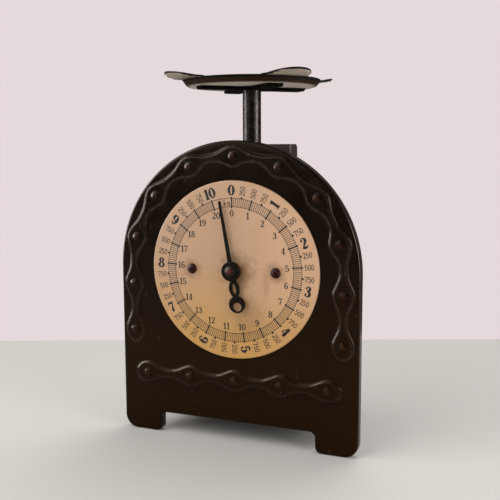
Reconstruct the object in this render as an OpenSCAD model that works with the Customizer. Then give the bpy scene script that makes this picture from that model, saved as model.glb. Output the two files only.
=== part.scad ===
// Household spring scale for ten kilograms: an arched face plate of pressed sheet steel with
// a round dial, an open-backed spring frame behind it, and a lobed pan on a sliding post.
// A rack on the post's crosshead turns the pinion on the pointer's arbor.
// Millimetres. +X is the right of someone who reads the dial, -Y is the front, +Z is up.
// The origin is on the post's axis at the table.

/* [Face plate] */
// Width of the face plate
plate_w = 200; // [190:1:230]
// Height of the dial's centre, and of the arch's centre, above the table
dial_z = 138.4; // [132:0.2:150]
// Thickness of the plate's sheet
plate_t = 1; // [0.8:0.1:1.2]
// Outer radius of the bend round the plate's edge
edge_r = 2; // [1.6:0.1:2.4]
// Depth of the folded edge, from the plate's front
edge_d = 8; // [4:0.5:10]
// Distance from the plate's front back to the post's axis
post_setback = 38.6; // [37:0.2:44]
// Width of the gap between the feet
gap_w = 132; // [128:1:138]
// Height of the gap between the feet
gap_h = 16.3; // [14:0.1:17]
// Radius of a foot's outer bottom corner
foot_outer_r = 11; // [8:0.5:13]
// Radius of a foot's inner bottom corner
foot_inner_r = 5; // [3:0.5:6]
// Radius of the gap's top corners
gap_r = 4.5; // [3:0.5:6]

/* [Pressed chain] */
// Height of the chain above the sheet
chain_h = 1.5; // [1:0.1:1.8]
// Width of the chain across a bead
chain_wide = 16; // [12:0.5:17]
// Width of the chain halfway between two beads
chain_narrow = 5.8; // [4:0.2:8]
// Width of the chain's sloping side
chain_slope = 2; // [1:0.1:2.4]
// Distance between two beads
bead_pitch = 38.2; // [34:0.1:39]
// Length of the rounded end beyond the last bead
chain_end = 11; // [9:0.5:12]
// Diameter of a bead
bead_d = 7.5; // [6:0.1:9]
// Height of a bead above the chain
bead_h = 1.2; // [0.8:0.1:1.5]
// Distance from the plate's edge in to the middle of the arched chain
chain_in = 12.2; // [11.5:0.1:13]
// Beads on each side of the arched chain's top bead
arch_beads = 5; // [4:1:5]
// Height of the straight chain's middle above the table
low_chain_z = 50; // [46:0.5:52]
// Beads on each side of the straight chain's middle bead
low_beads = 2; // [1:1:2]

/* [Dial] */
// Diameter of the dial
dial_d = 139.3; // [134:0.1:141]
// Thickness of the dial's sheet
dial_t = 0.8; // [0.6:0.1:1]
// Height of the dial's front above the plate
dial_stand = 1.6; // [1.4:0.1:2.2]
// Distance between the two dial screws
dial_screw_gap = 70; // [66:1:74]
// Diameter of the dial screws
dial_screw_d = 4; // [3.5:0.1:4.5]
// Diameter of a dial screw's domed head
dial_head_d = 8.2; // [7.6:0.1:9]
// Height of a dial screw's domed head
dial_head_h = 2.2; // [1.8:0.1:2.2]

/* [Pointer] */
// Reach of the pointer from the arbor's axis
pointer_reach = 54.5; // [50:0.5:56]
// Width of the pointer beside the hub
pointer_root_w = 2.7; // [2:0.1:3.5]
// Width of the pointer at its tip
pointer_tip_w = 1.2; // [0.8:0.1:1.6]
// Thickness of the pointer's sheet
pointer_t = 0.8; // [0.6:0.1:1]
// Angle of the pointer at rest, clockwise from upright
pointer_rest = -10.3; // [-12:0.1:-6]
// Diameter of the pointer's hub disc
hub_d = 15.3; // [13:0.1:17]
// Distance from the dial's front to the hub disc's front
hub_stand = 5.9; // [5.6:0.1:7]
// Diameter of the cap nut on the hub
cap_d = 8.8; // [8:0.1:10]
// Height of the cap nut
cap_h = 2.5; // [2:0.1:3]
// Distance from the axis to the middle of the tail's ring
tail_ring_at = 26.1; // [24:0.1:30]
// Outer diameter of the tail's ring
tail_ring_d = 12.5; // [11:0.1:14]
// Diameter of the tail ring's hole
tail_hole_d = 7.8; // [6:0.1:8.4]
// How far the hole lies off the ring's middle, away from the hub
tail_hole_off = 1.9; // [1:0.1:2]

/* [Movement] */
// Module of the rack's and the pinion's teeth
tooth_module = 0.5; // [0.5:0.01:0.52]
// Number of teeth on the pinion
pinion_teeth = 15; // [15:1:17]
// Width of the pinion's teeth
pinion_w = 5; // [4:0.1:6]
// Distance from the plate's back to the front of the pinion
pinion_setback = 6.6; // [6:0.1:7]
// Metal taken off each tooth flank for play
flank_play = 0.05; // [0.04:0.01:0.08]
// Diameter of the arbor
arbor_d = 3; // [2.6:0.1:3.4]
// Running clearance round the arbor
arbor_play = 0.05; // [0.03:0.01:0.08]
// Depth of the bridge behind the plate
bridge_depth = 22; // [21:0.1:22.4]
// Height of the bridge's strap
bridge_h = 14; // [12:0.5:16]
// Thickness of the bridge's strap
bridge_t = 1.5; // [1.2:0.1:1.8]
// Width of the rack's bar behind its teeth
rack_bar = 3.2; // [2.6:0.1:3.6]
// Thickness of the rack
rack_t = 4; // [3.5:0.1:4.5]
// Travel of the pan from rest to full load and a little over
travel = 23.2; // [22.6:0.1:24]

/* [Frame and base] */
// Width of the spring frame
frame_w = 75; // [73:0.5:78]
// Depth of the spring frame
frame_depth = 16; // [15:0.5:17]
// Thickness of the frame's sheet
frame_t = 1.2; // [1:0.1:1.5]
// Drop from the arch's top to the frame's top
frame_drop = 2.9; // [2:0.1:6]
// Distance from the post's axis forward to the frame's front
frame_front = 13.4; // [13:0.1:13.8]
// Width of the window in the frame's web
window_w = 40; // [36:1:42]
// Thickness of the base's sheet
base_t = 1.5; // [1.2:0.1:1.8]
// Height of the deck's top above the table
deck_z = 22; // [21:0.5:26]
// Width of the base
base_w = 130; // [120:1:132]
// Distance from the post's axis back to the rear feet
base_back = 58; // [54:0.5:60]
// Width of a rear foot
rear_foot_w = 20; // [16:1:24]
// Diameter of the rivets
rivet_d = 3.2; // [3:0.1:3.4]

/* [Post and springs] */
// Diameter of the post's tube
post_d = 14.7; // [13.5:0.1:15]
// Wall of the post's tube
post_wall = 1.2; // [1:0.1:1.5]
// Height of the pan's underside above the arch's top
pan_rise = 42.2; // [40:0.5:60]
// Running clearance round the post and the guide rod
slide_play = 0.08; // [0.05:0.01:0.09]
// Wall of the guide bush
bush_wall = 2.1; // [1.6:0.1:2.4]
// Diameter of the guide rod
rod_d = 8; // [7:0.1:9]
// Diameter of the spring's wire
wire_d = 1.8; // [1.5:0.1:1.9]
// Middle diameter of the spring's coil
coil_d = 12.2; // [11:0.1:12.6]
// Turns of each spring, less a half
spring_turns = 26; // [22:1:28]
// Distance from the post's axis to each spring's axis
spring_at = 22; // [21.5:0.1:24]
// Middle radius of the springs' hooks and eyes
hook_r = 3.2; // [3:0.1:3.6]

/* [Pan] */
// Thickness of the pan's sheet
pan_t = 1; // [0.8:0.1:1.2]
// Radius of the pan's flat bottom
pan_floor_r = 50; // [46:0.5:51]
// Radius of the pan's rim between the lobes
pan_rim_r = 55; // [54:0.5:58]
// Height of the rim above the pan's underside
pan_rim_h = 4.9; // [4:0.1:6]
// Reach of the lobes from the pan's axis
lobe_reach = 73.5; // [71:0.5:80]
// Height of the lobes' tips above the pan's underside
lobe_h = 8.4; // [7:0.1:12]
// Width of a lobe
lobe_w = 34; // [30:0.5:38]
// Radius of the hollow beside a lobe
lobe_fillet = 6; // [4:0.5:8]
// Turn of the pan on its cross
pan_turn = 5; // [0:1:45]
// Length of each arm of the cross, from the axis
cross_reach = 45; // [42:0.5:48]
// Width of each arm of the cross
cross_w = 13; // [10:0.5:15]
// Thickness of the cross
cross_t = 2.5; // [2:0.1:3]

/* [Hidden] */
$fn = 64;

// Gap between a piece and its seat
seat = 0.05;
// How far a cut runs past the faces that it opens
over = 0.5;
plate_r = plate_w / 2;
plate_top = dial_z + plate_r;
plate_y = -post_setback;
plate_back = plate_y + plate_t;
gap_half = gap_w / 2;
dial_r = dial_d / 2;
dial_front = plate_y - dial_stand;
screw_x = dial_screw_gap / 2;
chain_r = plate_r - chain_in;
chain_wide_r = chain_wide / 2;
chain_narrow_r = chain_narrow / 2;
// How far the chain's solid reaches into the sheet
chain_bury = 0.5;
bead_ball_r = (bead_d * bead_d / 4 + bead_h * bead_h) / (2 * bead_h);
// How far a shank or a stem reaches into its own head
root = 0.2;
// Thread that shows beyond a nut
thread_end = 1;
hub_front = dial_front - hub_stand;
hub_t = 2;
arbor_r = arbor_d / 2;
arbor_thin_r = arbor_r - 0.4;
hub_neck_r = arbor_r + 1;
pitch_r = tooth_module * pinion_teeth / 2;
// Pressure angle of the teeth
press = 20;
tooth_depth = 1.2 * tooth_module;
pinion_front = plate_back + pinion_setback;
pinion_boss_l = 2.2;
front_bush_r = 5;
dial_hole_r = front_bush_r + 0.4;
front_bush_back = pinion_front - pinion_boss_l - 0.4;
rear_bush_r = arbor_r + 1.6;
bridge_back = plate_back + bridge_depth;
bridge_leg_x = 27.5;
bridge_ear_x = 43;
dial_nut_af = 7;
frame_half = frame_w / 2;
frame_inner = frame_half - frame_t;
frame_top = plate_top - frame_drop;
frame_y = -frame_front;
frame_back = frame_y + frame_depth;
// Inner radius of the bends in the frame
frame_bend = 1.6;
// Heights of the metal left below and above the window in the frame's back
window_below = 34;
window_above = 31;
window_bottom = deck_z + window_below;
window_top = frame_top - window_above;
// Height of the dial's top edge above the brackets' middle
bracket_below = 33.05;
bracket_z = dial_z + dial_r - bracket_below;
bracket_h = 26;
bracket_t = 1.5;
bracket_ear = 15.5;
bracket_ear_x = frame_half + bracket_ear;
rivet_head_d = 1.8 * rivet_d;
rivet_head_h = 1.3;
plate_rivet_out = 8;
plate_rivet_x = frame_half + plate_rivet_out;
plate_rivet_dz = 7;
frame_rivet_dz = 6;
base_rivet_in = 8;
base_rivet_x = frame_half - base_rivet_in;
base_rivet_back = 4.5;
base_rivet_gap = 8;
base_rivet_y = [frame_y + base_rivet_back, frame_y + base_rivet_back + base_rivet_gap];
bar_t = 3;
bar_top = frame_top - 7.5;
bar_bottom = bar_top - bar_t;
bar_depth = frame_depth - frame_t - 1;
bar_ear_h = 16;
bar_screw_r = 1.5;
bar_screw_z = bar_top - bar_ear_h + 5;
post_r = post_d / 2;
post_bore_r = post_r - post_wall;
bush_bore_r = post_r + slide_play;
bush_r = bush_bore_r + bush_wall;
pan_z = plate_top + pan_rise;
pan_floor_z = pan_z + pan_t;
// How sharply a lobe turns up towards its tip, 1 for straight
lobe_flare = 1.7;
pan_screw_r = 2.5;
pan_screw_head_r = 5;
post_top = pan_z - cross_t;
head_z = dial_z - 18.4;
head_h = 6;
head_w = 12;
head_half = spring_at + 7;
head_boss_r = post_r + 3.2;
head_boss_h = 14;
head_boss_z = head_z - head_h / 2 - 1;
head_pin_r = 1.5;
head_pin_z = head_boss_z + 11;
post_bottom = head_z - 16;
rod_r = rod_d / 2;
rod_top = head_z + 5;
rod_stud_r = 3;
rod_nut_h = 4;
rack_side = pitch_r + tooth_depth;
rack_y = pinion_front + (pinion_w - rack_t) / 2;
rack_back_x = rack_side + rack_bar;
rack_screw_r = 1;
rack_screw_dz = 2.6;
arm_t = 3.5;
arm_h = 10;
wire_r = wire_d / 2;
eye_drop = hook_r + wire_r + 0.7;
hook_hang = 2 * hook_r - wire_d - 0.3;
upper_hook_z = bar_bottom - eye_drop - hook_hang;
lower_hook_z = head_z + head_h / 2 + eye_drop + hook_hang;
nut_h = 3;
nut_af = 5.5;

// Stands flat work up, so that its +Z faces the reader from the plane y = front
module upright(front) {
    translate([0, front, 0]) rotate([90, 0, 0]) children();
}

// Puts a copy on the left and one on the right
module both_sides() {
    for (side = [0, 1]) mirror([side, 0, 0]) children();
}

// A tube or ring along +Z
module ring(outer, inner, height) {
    difference() {
        cylinder(r = outer, h = height);
        translate([0, 0, -over]) cylinder(r = inner, h = height + 2 * over);
    }
}

// A domed screw or rivet head on the plane z = 0
module dome(width, height) {
    ball = (width * width / 4 + height * height) / (2 * height);
    intersection() {
        translate([0, 0, height - ball]) sphere(r = ball);
        cylinder(d = width + 1, h = height + 1);
    }
}

// A rivet along +Z through a grip that ends at z = 0, with its closed end below
module rivet(grip) {
    dome(rivet_head_d, rivet_head_h);
    rivet_shank(grip);
}

module rivet_shank(grip) {
    translate([0, 0, -grip - root]) cylinder(d = rivet_d, h = grip + 2 * root);
    translate([0, 0, -grip]) rotate([180, 0, 0]) dome(rivet_head_d, rivet_head_h);
}

module rivet_hole(depth) {
    translate([0, 0, -over]) cylinder(r = rivet_d / 2 + seat, h = depth + 2 * over);
}

// A hexagon nut along +Z with a clear hole
module hex_nut(across, hole_r, height) {
    difference() {
        cylinder(d = across / cos(30), h = height, $fn = 6);
        translate([0, 0, -over]) cylinder(r = hole_r, h = height + 2 * over);
    }
}

// A rectangle with rounded corners, centred on X and starting at y = 0
module soft_rect(width, depth, radius) {
    translate([-width / 2 + radius, 0]) square([width - 2 * radius, depth]);
    translate([-width / 2, radius]) square([width, depth - 2 * radius]);
    for (x = [-1, 1], y = [radius, depth - radius])
        translate([x * (width / 2 - radius), y]) circle(r = radius);
}

// The gap between the feet, grown by inset, with the feet's inner corners flared
module gap_outline(inset) {
    half = gap_half + inset;
    flare = gap_half + foot_inner_r;
    difference() {
        translate([-flare, -over]) square([2 * flare, foot_inner_r + over]);
        for (side = [-1, 1])
            translate([side * flare, foot_inner_r]) circle(r = foot_inner_r - inset);
    }
    translate([-half, 0]) square([2 * half, gap_h - gap_r]);
    translate([0, -gap_h])
        soft_rect(2 * half, 2 * gap_h + inset, gap_r + inset);
}

// The face plate's outline, drawn in from its edge by inset
module face_outline(inset) {
    difference() {
        union() {
            translate([0, dial_z]) circle(r = plate_r - inset, $fn = 180);
            translate([-plate_r + inset, foot_outer_r])
                square([plate_w - 2 * inset, dial_z - foot_outer_r]);
            translate([-plate_r + foot_outer_r, inset])
                square([plate_w - 2 * foot_outer_r, dial_z / 2]);
            for (side = [-1, 1])
                translate([side * (plate_r - foot_outer_r), foot_outer_r])
                    circle(r = foot_outer_r - inset);
        }
        gap_outline(inset);
    }
}

// Section of the folded edge: x runs in from the outline, y runs back from the front
module edge_section() {
    intersection() {
        translate([edge_r, edge_r]) difference() {
            circle(r = edge_r);
            circle(r = edge_r - plate_t);
        }
        square([edge_r, edge_r]);
    }
    translate([0, edge_r]) square([plate_t, edge_d - edge_r]);
}

// A straight stretch of folded edge, with the plate on its left
module edge_line(start, heading, length) {
    translate(start) rotate(heading) rotate([90, 0, 90])
        linear_extrude(length) mirror([0, 1]) edge_section();
}

// A turn of folded edge round an outer corner
module edge_turn(centre, radius, from, sweep) {
    translate(centre) rotate(from) rotate_extrude(angle = sweep)
        translate([radius, 0]) rotate(180) edge_section();
}

// A turn of folded edge round an inner corner
module edge_inner_turn(centre, radius, from, sweep) {
    translate(centre) rotate(from) rotate_extrude(angle = sweep)
        translate([radius, 0]) mirror([0, 1]) edge_section();
}

// The folded edge round one half of the plate
module half_edge() {
    foot_flat = plate_r - gap_half - foot_outer_r - foot_inner_r;
    edge_turn([0, dial_z], plate_r, 0, 90, $fn = 180);
    edge_line([plate_r, foot_outer_r], 90, dial_z - foot_outer_r);
    edge_turn([plate_r - foot_outer_r, foot_outer_r], foot_outer_r, 270, 90);
    edge_line([gap_half + foot_inner_r, 0], 0, foot_flat);
    edge_turn([gap_half + foot_inner_r, foot_inner_r], foot_inner_r, 180, 90);
    edge_line([gap_half, gap_h - gap_r], 270, gap_h - gap_r - foot_inner_r);
    edge_inner_turn([gap_half - gap_r, gap_h - gap_r], gap_r, 0, 90);
    edge_line([0, gap_h], 0, gap_half - gap_r);
}

// Half width of the chain at a distance along it: widest at a bead, round at its end
function bulge(s) = pow((1 + cos(360 * s / bead_pitch)) / 2, 1.4);
function chain_half(s, last, more, end) = abs(s) > last
    ? (chain_wide_r + more) * sqrt(max(0, 1 - pow((abs(s) - last) / end, 2)))
    : more + chain_narrow_r + (chain_wide_r - chain_narrow_r) * bulge(s);

// Place and outward direction at a distance along the arched chain, from its top
function arch_turn(s) = max(-90, min(90, s / chain_r * 180 / PI));
function arch_rest(s) = abs(s) - chain_r * abs(arch_turn(s)) * PI / 180;
function arch_place(s) = [
    chain_r * sin(arch_turn(s)),
    dial_z + chain_r * cos(arch_turn(s)) - arch_rest(s),
    arch_turn(s)];
function low_place(s) = [s, low_chain_z, 0];
function beside(place, across, height) =
    [place[0] + across * sin(place[2]), place[1] + across * cos(place[2]), height];

// The raised chain as one lofted solid: a trapezoid carried along the chain's line. At its
// ends the foot and the top close on two half ovals, one inside the other.
module chain(arched, beads) {
    last = beads * bead_pitch;
    steps = beads * 12;
    cap_steps = 5;
    foot_more = chain_slope * (chain_h + chain_bury) / chain_h;
    foot_end = chain_end + foot_more;
    side = concat(
        [for (i = [0 : steps - 1]) last * i / steps],
        [for (i = [0 : cap_steps]) last + foot_end * sin(90 * i / (cap_steps + 0.3))]);
    stations = concat([for (i = [len(side) - 1 : -1 : 1]) -side[i]], side);
    points = [for (s = stations)
        let (past = max(0, abs(s) - last),
             top_s = sign(s) * (abs(s) - past + past * chain_end / foot_end),
             foot_at = arched ? arch_place(s) : low_place(s),
             top_at = arched ? arch_place(top_s) : low_place(top_s),
             foot = chain_half(s, last, foot_more, foot_end),
             top = chain_half(top_s, last, 0, chain_end))
        each [beside(foot_at, -foot, -chain_bury), beside(foot_at, foot, -chain_bury),
            beside(top_at, top, chain_h), beside(top_at, -top, chain_h)]];
    end = len(points) - 4;
    walls = [for (i = [0 : 4 : end - 4], j = [0 : 3])
        let (k = (j + 1) % 4)
        each [[i + j, i + 4 + k, i + k], [i + j, i + 4 + j, i + 4 + k]]];
    polyhedron(points, concat([[0, 1, 2], [0, 2, 3]], walls,
        [[end, end + 2, end + 1], [end, end + 3, end + 2]]), convexity = 6);
}

// A bead: a short round boss with a domed top, or the hollow behind it
module bead(hollow) {
    ball = bead_ball_r - hollow;
    rotate_extrude($fn = 32) intersection() {
        translate([0, chain_h + bead_h - bead_ball_r]) circle(r = ball, $fn = 90);
        translate([0, -hollow]) square([bead_d / 2 - hollow / 2, chain_h + bead_h + hollow]);
    }
}

// Puts a child at every bead of both chains
module at_beads() {
    for (i = [-arch_beads : arch_beads]) {
        place = arch_place(i * bead_pitch);
        translate([place[0], place[1], 0]) children();
    }
    for (i = [-low_beads : low_beads])
        translate([i * bead_pitch, low_chain_z, 0]) children();
}

module front_plate() {
    color([0.09, 0.06, 0.05]) upright(plate_y) difference() {
        union() {
            translate([0, 0, -plate_t]) linear_extrude(plate_t) face_outline(edge_r);
            both_sides() half_edge();
            chain(true, arch_beads);
            chain(false, low_beads);
            at_beads() bead(0);
        }
        translate([0, 0, -plate_t]) chain(true, arch_beads);
        translate([0, 0, -plate_t]) chain(false, low_beads);
        at_beads() bead(plate_t);
        translate([0, dial_z, -plate_t - over])
            cylinder(r = front_bush_r, h = plate_t + 2 * over);
        for (side = [-1, 1])
            translate([side * screw_x, dial_z, -plate_t - over])
                cylinder(r = dial_screw_d / 2 + seat, h = plate_t + 2 * over);
        at_plate_rivets() translate([0, 0, -plate_t]) rivet_hole(plate_t);
    }
}

// Dial: a flat sheet with its edge turned back onto the plate
module dial() {
    color([0.80, 0.63, 0.46]) upright(plate_y) translate([0, dial_z, 0]) difference() {
        rotate_extrude($fn = 180) {
            translate([0, dial_stand - dial_t]) square([dial_r - dial_t, dial_t]);
            translate([dial_r - dial_t, 0]) square([dial_t, dial_stand - dial_t]);
            intersection() {
                translate([dial_r - dial_t, dial_stand - dial_t]) circle(r = dial_t);
                translate([dial_r - dial_t, dial_stand - dial_t]) square(dial_t);
            }
        }
        translate([0, 0, -over]) cylinder(r = dial_hole_r, h = dial_stand + 2 * over);
        for (side = [-1, 1]) translate([side * screw_x, 0, -over])
            cylinder(r = dial_screw_d / 2 + seat, h = dial_stand + 2 * over);
    }
}

module at_dial_screws() {
    for (side = [-1, 1]) translate([side * screw_x, dial_z, 0]) children();
}

module dial_screws() {
    slot_w = 1;
    slot_depth = 0.9;
    slot_turn = [20, -50];
    shank = dial_stand + plate_t + bridge_t + nut_h + thread_end;
    color([0.30, 0.14, 0.09]) upright(dial_front) for (i = [0, 1])
        translate([(2 * i - 1) * screw_x, dial_z, 0]) difference() {
            union() {
                dome(dial_head_d, dial_head_h);
                translate([0, 0, -shank]) cylinder(d = dial_screw_d, h = shank + root);
            }
            rotate(slot_turn[i]) translate([-dial_head_d, -slot_w / 2, dial_head_h - slot_depth])
                cube([2 * dial_head_d, slot_w, 2 * slot_depth]);
        }
}

module dial_spacers() {
    color([0.45, 0.42, 0.38]) upright(plate_y) at_dial_screws()
        ring(dial_screw_d, dial_screw_d / 2 + seat, dial_stand - dial_t);
}

module dial_nuts() {
    color([0.38, 0.36, 0.33]) upright(plate_back + bridge_t + nut_h) at_dial_screws()
        hex_nut(dial_nut_af, dial_screw_d / 2 + seat, nut_h);
}

// Bridge behind the dial: a strap bent twice, held by the dial screws
module arbor_bridge() {
    ear_w = bridge_ear_x - bridge_leg_x + bridge_t;
    color([0.34, 0.31, 0.28]) difference() {
        translate([0, 0, dial_z - bridge_h / 2]) {
            both_sides() {
                translate([bridge_leg_x - bridge_t, plate_back, 0])
                    cube([ear_w, bridge_t, bridge_h]);
                translate([bridge_leg_x - bridge_t, plate_back, 0])
                    cube([bridge_t, bridge_depth, bridge_h]);
            }
            translate([-bridge_leg_x, bridge_back - bridge_t, 0])
                cube([2 * bridge_leg_x, bridge_t, bridge_h]);
        }
        upright(bridge_back + over) {
            translate([0, dial_z, 0]) cylinder(r = rear_bush_r, h = bridge_t + 2 * over);
            at_dial_screws() cylinder(r = dial_screw_d / 2 + seat, h = bridge_depth + 2 * over);
        }
    }
}

module front_bush() {
    neck = front_bush_r - seat;
    reach = dial_stand - 0.4;
    flange_r = front_bush_r + 3;
    flange_t = 1.5;
    boss_r = arbor_r + 2.3;
    color([0.72, 0.55, 0.28]) upright(plate_y) translate([0, dial_z, 0]) difference() {
        union() {
            translate([0, 0, -plate_t]) cylinder(r = neck, h = plate_t + reach);
            translate([0, 0, -plate_t - flange_t]) cylinder(r = flange_r, h = flange_t);
            translate([0, 0, plate_y - front_bush_back])
                cylinder(r = boss_r, h = front_bush_back - plate_back);
        }
        translate([0, 0, plate_y - front_bush_back - over])
            cylinder(r = arbor_r + arbor_play, h = front_bush_back - plate_y + reach + 2 * over);
    }
}

module rear_bush() {
    front = bridge_back - bridge_t;
    flange_t = 1.2;
    color([0.72, 0.55, 0.28]) upright(front) translate([0, dial_z, 0]) difference() {
        union() {
            translate([0, 0, -bridge_t]) cylinder(r = rear_bush_r - seat, h = bridge_t);
            cylinder(r = 1.5 * rear_bush_r, h = flange_t);
        }
        translate([0, 0, -bridge_t - over])
            cylinder(r = arbor_r + arbor_play, h = bridge_t + flange_t + 2 * over);
    }
}

// Base: a deck with a flange up the plate's back and walls turned down to two rear feet
module base() {
    wall_front = plate_y + edge_d + 0.3;
    depth = base_back - wall_front;
    low_edge = deck_z - 5;
    corner = 6;
    rear_gap_h = 13;
    front_flange_w = base_w - 2 * corner;
    front_flange_h = 12;
    color([0.10, 0.08, 0.07]) difference() {
        union() {
            translate([0, wall_front, deck_z - base_t]) linear_extrude(base_t)
                soft_rect(base_w, depth, corner);
            difference() {
                translate([0, wall_front, 0]) linear_extrude(deck_z)
                    soft_rect(base_w, depth, corner);
                translate([0, wall_front + base_t, -over]) linear_extrude(deck_z + 2 * over)
                    soft_rect(base_w - 2 * base_t, depth - 2 * base_t, corner - base_t);
                // side walls slope down from the front to the rear feet
                translate([base_w, 0, 0]) rotate([0, -90, 0]) linear_extrude(2 * base_w)
                    polygon([[-over, wall_front - over], [low_edge, wall_front - over],
                        [low_edge, 0], [0, base_back - rear_foot_w],
                        [-over, base_back - rear_foot_w]]);
                // gap between the rear feet
                translate([0, 0, -rear_gap_h]) rotate([90, 0, 0])
                    translate([0, 0, -base_back - over]) linear_extrude(rear_foot_w / 2)
                        soft_rect(base_w - 2 * rear_foot_w, 2 * rear_gap_h, gap_r);
            }
            translate([-front_flange_w / 2, plate_back, deck_z - base_t])
                cube([front_flange_w, wall_front - plate_back + corner, base_t]);
            translate([-front_flange_w / 2, plate_back, deck_z - base_t])
                cube([front_flange_w, base_t, front_flange_h]);
        }
        translate([0, 0, deck_z - base_t - over])
            cylinder(r = rod_stud_r + seat, h = base_t + 2 * over);
        translate([0, 0, deck_z - base_t]) at_base_rivets() rivet_hole(base_t);
    }
}

module at_base_rivets() {
    for (side = [-1, 1], y = base_rivet_y) translate([side * base_rivet_x, y, 0]) children();
}

module base_rivets() {
    color([0.32, 0.29, 0.27]) translate([0, 0, deck_z + frame_t]) at_base_rivets()
        rivet(base_t + frame_t);
}

// Spring frame: a channel open to the back, with a window in its web and two turned-in feet
module frame() {
    height = frame_top - deck_z;
    foot_in = 15;
    corner_r = 4;
    window_r = 8;
    color([0.30, 0.25, 0.21]) difference() {
        union() {
            translate([0, frame_y, deck_z]) linear_extrude(height) difference() {
                soft_rect(frame_w, 2 * frame_depth, frame_bend + frame_t);
                translate([0, frame_t])
                    soft_rect(2 * frame_inner, 2 * frame_depth, frame_bend);
                translate([-frame_w, frame_depth]) square([2 * frame_w, 2 * frame_depth]);
            }
            both_sides() translate([frame_inner - foot_in, frame_y + frame_t, deck_z])
                cube([foot_in + frame_t / 2, frame_depth - frame_t, frame_t]);
        }
        // window in the web
        translate([0, frame_y + frame_t + over, window_bottom]) rotate([90, 0, 0])
            linear_extrude(frame_t + 2 * over)
                soft_rect(window_w, window_top - window_bottom, window_r);
        // rounded upper corner at the back of each side
        translate([-frame_w, frame_back - corner_r, frame_top - corner_r]) rotate([90, 0, 90])
            linear_extrude(2 * frame_w) difference() {
                square(corner_r + over);
                circle(r = corner_r);
            }
        translate([0, 0, deck_z]) at_base_rivets() rivet_hole(frame_t);
        at_frame_rivets() translate([0, 0, -frame_t]) rivet_hole(frame_t);
        at_bar_screws() translate([0, 0, -frame_t - over])
            cylinder(r = bar_screw_r + seat, h = frame_t + 2 * over);
    }
}

// Places on the plate's front, drawn upright
module at_plate_rivets() {
    for (side = [-1, 1], z = [-1, 1])
        translate([side * plate_rivet_x, bracket_z + z * plate_rivet_dz, 0]) children();
}

// Places on the outer faces of the frame's sides, with +Z pointing out
module on_frame_side(z) {
    for (side = [-1, 1]) translate([side * frame_half, frame_y + frame_depth / 2, z])
        rotate([0, side * 90, 0]) children();
}

module at_frame_rivets() {
    for (z = [-1, 1]) on_frame_side(bracket_z + z * frame_rivet_dz) children();
}

module at_bar_screws() {
    on_frame_side(bar_screw_z) children();
}

// Bracket from the plate's back to one side of the frame
module bracket() {
    ear_w = bracket_ear_x - frame_half;
    reach = frame_back - 2 - plate_back;
    difference() {
        translate([frame_half, plate_back, bracket_z - bracket_h / 2]) {
            cube([ear_w, bracket_t, bracket_h]);
            cube([bracket_t, reach, bracket_h]);
        }
        upright(plate_back + bracket_t) at_plate_rivets() rivet_hole(bracket_t);
        at_frame_rivets() rivet_hole(bracket_t);
    }
}

module left_bracket() {
    color([0.28, 0.24, 0.21]) mirror([1, 0, 0]) bracket();
}

module right_bracket() {
    color([0.28, 0.24, 0.21]) bracket();
}

// Flat-headed rivets through the plate, hidden behind the dial
module plate_rivets() {
    flat_h = 0.5;
    color([0.32, 0.29, 0.27]) upright(plate_y) at_plate_rivets() {
        cylinder(d = 2 * rivet_d, h = flat_h);
        rivet_shank(plate_t + bracket_t);
    }
}

module frame_rivets() {
    color([0.32, 0.29, 0.27]) at_frame_rivets() translate([0, 0, bracket_t])
        rivet(frame_t + bracket_t);
}

// Cross bar in the frame's top: it holds the guide bush and both springs
module top_bar() {
    back = bush_r + 2.6;
    shoulder = spring_at + 7;
    shoulder_back = 6;
    corner_r = frame_bend + 0.2;
    color([0.34, 0.31, 0.28]) difference() {
        union() {
            intersection() {
                translate([0, frame_y + frame_t, bar_top - bar_ear_h]) linear_extrude(bar_ear_h)
                    soft_rect(2 * frame_inner, bar_depth, corner_r);
                union() {
                    translate([-frame_inner, frame_y, bar_bottom])
                        cube([2 * frame_inner, frame_depth, bar_t]);
                    both_sides() translate([frame_inner - bar_t, frame_y, bar_top - bar_ear_h])
                        cube([bar_t, frame_depth, bar_ear_h]);
                }
            }
            translate([-shoulder, 0, bar_bottom]) cube([2 * shoulder, shoulder_back, bar_t]);
            translate([0, 0, bar_bottom]) intersection() {
                cylinder(r = back, h = bar_t);
                translate([-back, 0, 0]) cube([2 * back, back, bar_t]);
            }
        }
        translate([0, 0, bar_bottom - over]) cylinder(r = bush_r + seat, h = bar_t + 2 * over);
        for (side = [-1, 1]) translate([side * spring_at, 0, bar_bottom - over])
            cylinder(r = wire_r + seat, h = bar_t + 2 * over);
        at_bar_screws() translate([0, 0, -frame_t - bar_t - over])
            cylinder(r = bar_screw_r + seat, h = bar_t + 2 * over);
    }
}

module bar_screws() {
    head_d = 4 * bar_screw_r;
    head_h = 1.8;
    slot_w = 0.8;
    length = frame_t + bar_t + thread_end;
    color([0.36, 0.33, 0.30]) at_bar_screws() difference() {
        union() {
            dome(head_d, head_h);
            translate([0, 0, -length]) cylinder(r = bar_screw_r, h = length + root);
        }
        translate([-head_d, -slot_w / 2, head_h - slot_w]) cube([2 * head_d, slot_w, head_h]);
    }
}

module guide_bush() {
    below = 4;
    length = below + bar_t + 3;
    color([0.72, 0.55, 0.28]) translate([0, 0, bar_bottom - below]) difference() {
        union() {
            cylinder(r = bush_r, h = length);
            cylinder(r = bush_r + bush_wall / 3, h = below);
        }
        translate([0, 0, -over]) cylinder(r = bush_bore_r, h = length + 2 * over);
    }
}

// A wire eye on a threaded stem along +Z, with the ring's middle at the origin
module eye_screw(stem) {
    rotate([90, 0, 0]) rotate_extrude($fn = 48) translate([hook_r, 0]) circle(r = wire_r, $fn = 24);
    translate([0, 0, hook_r]) cylinder(r = wire_r, h = stem);
}

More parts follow.
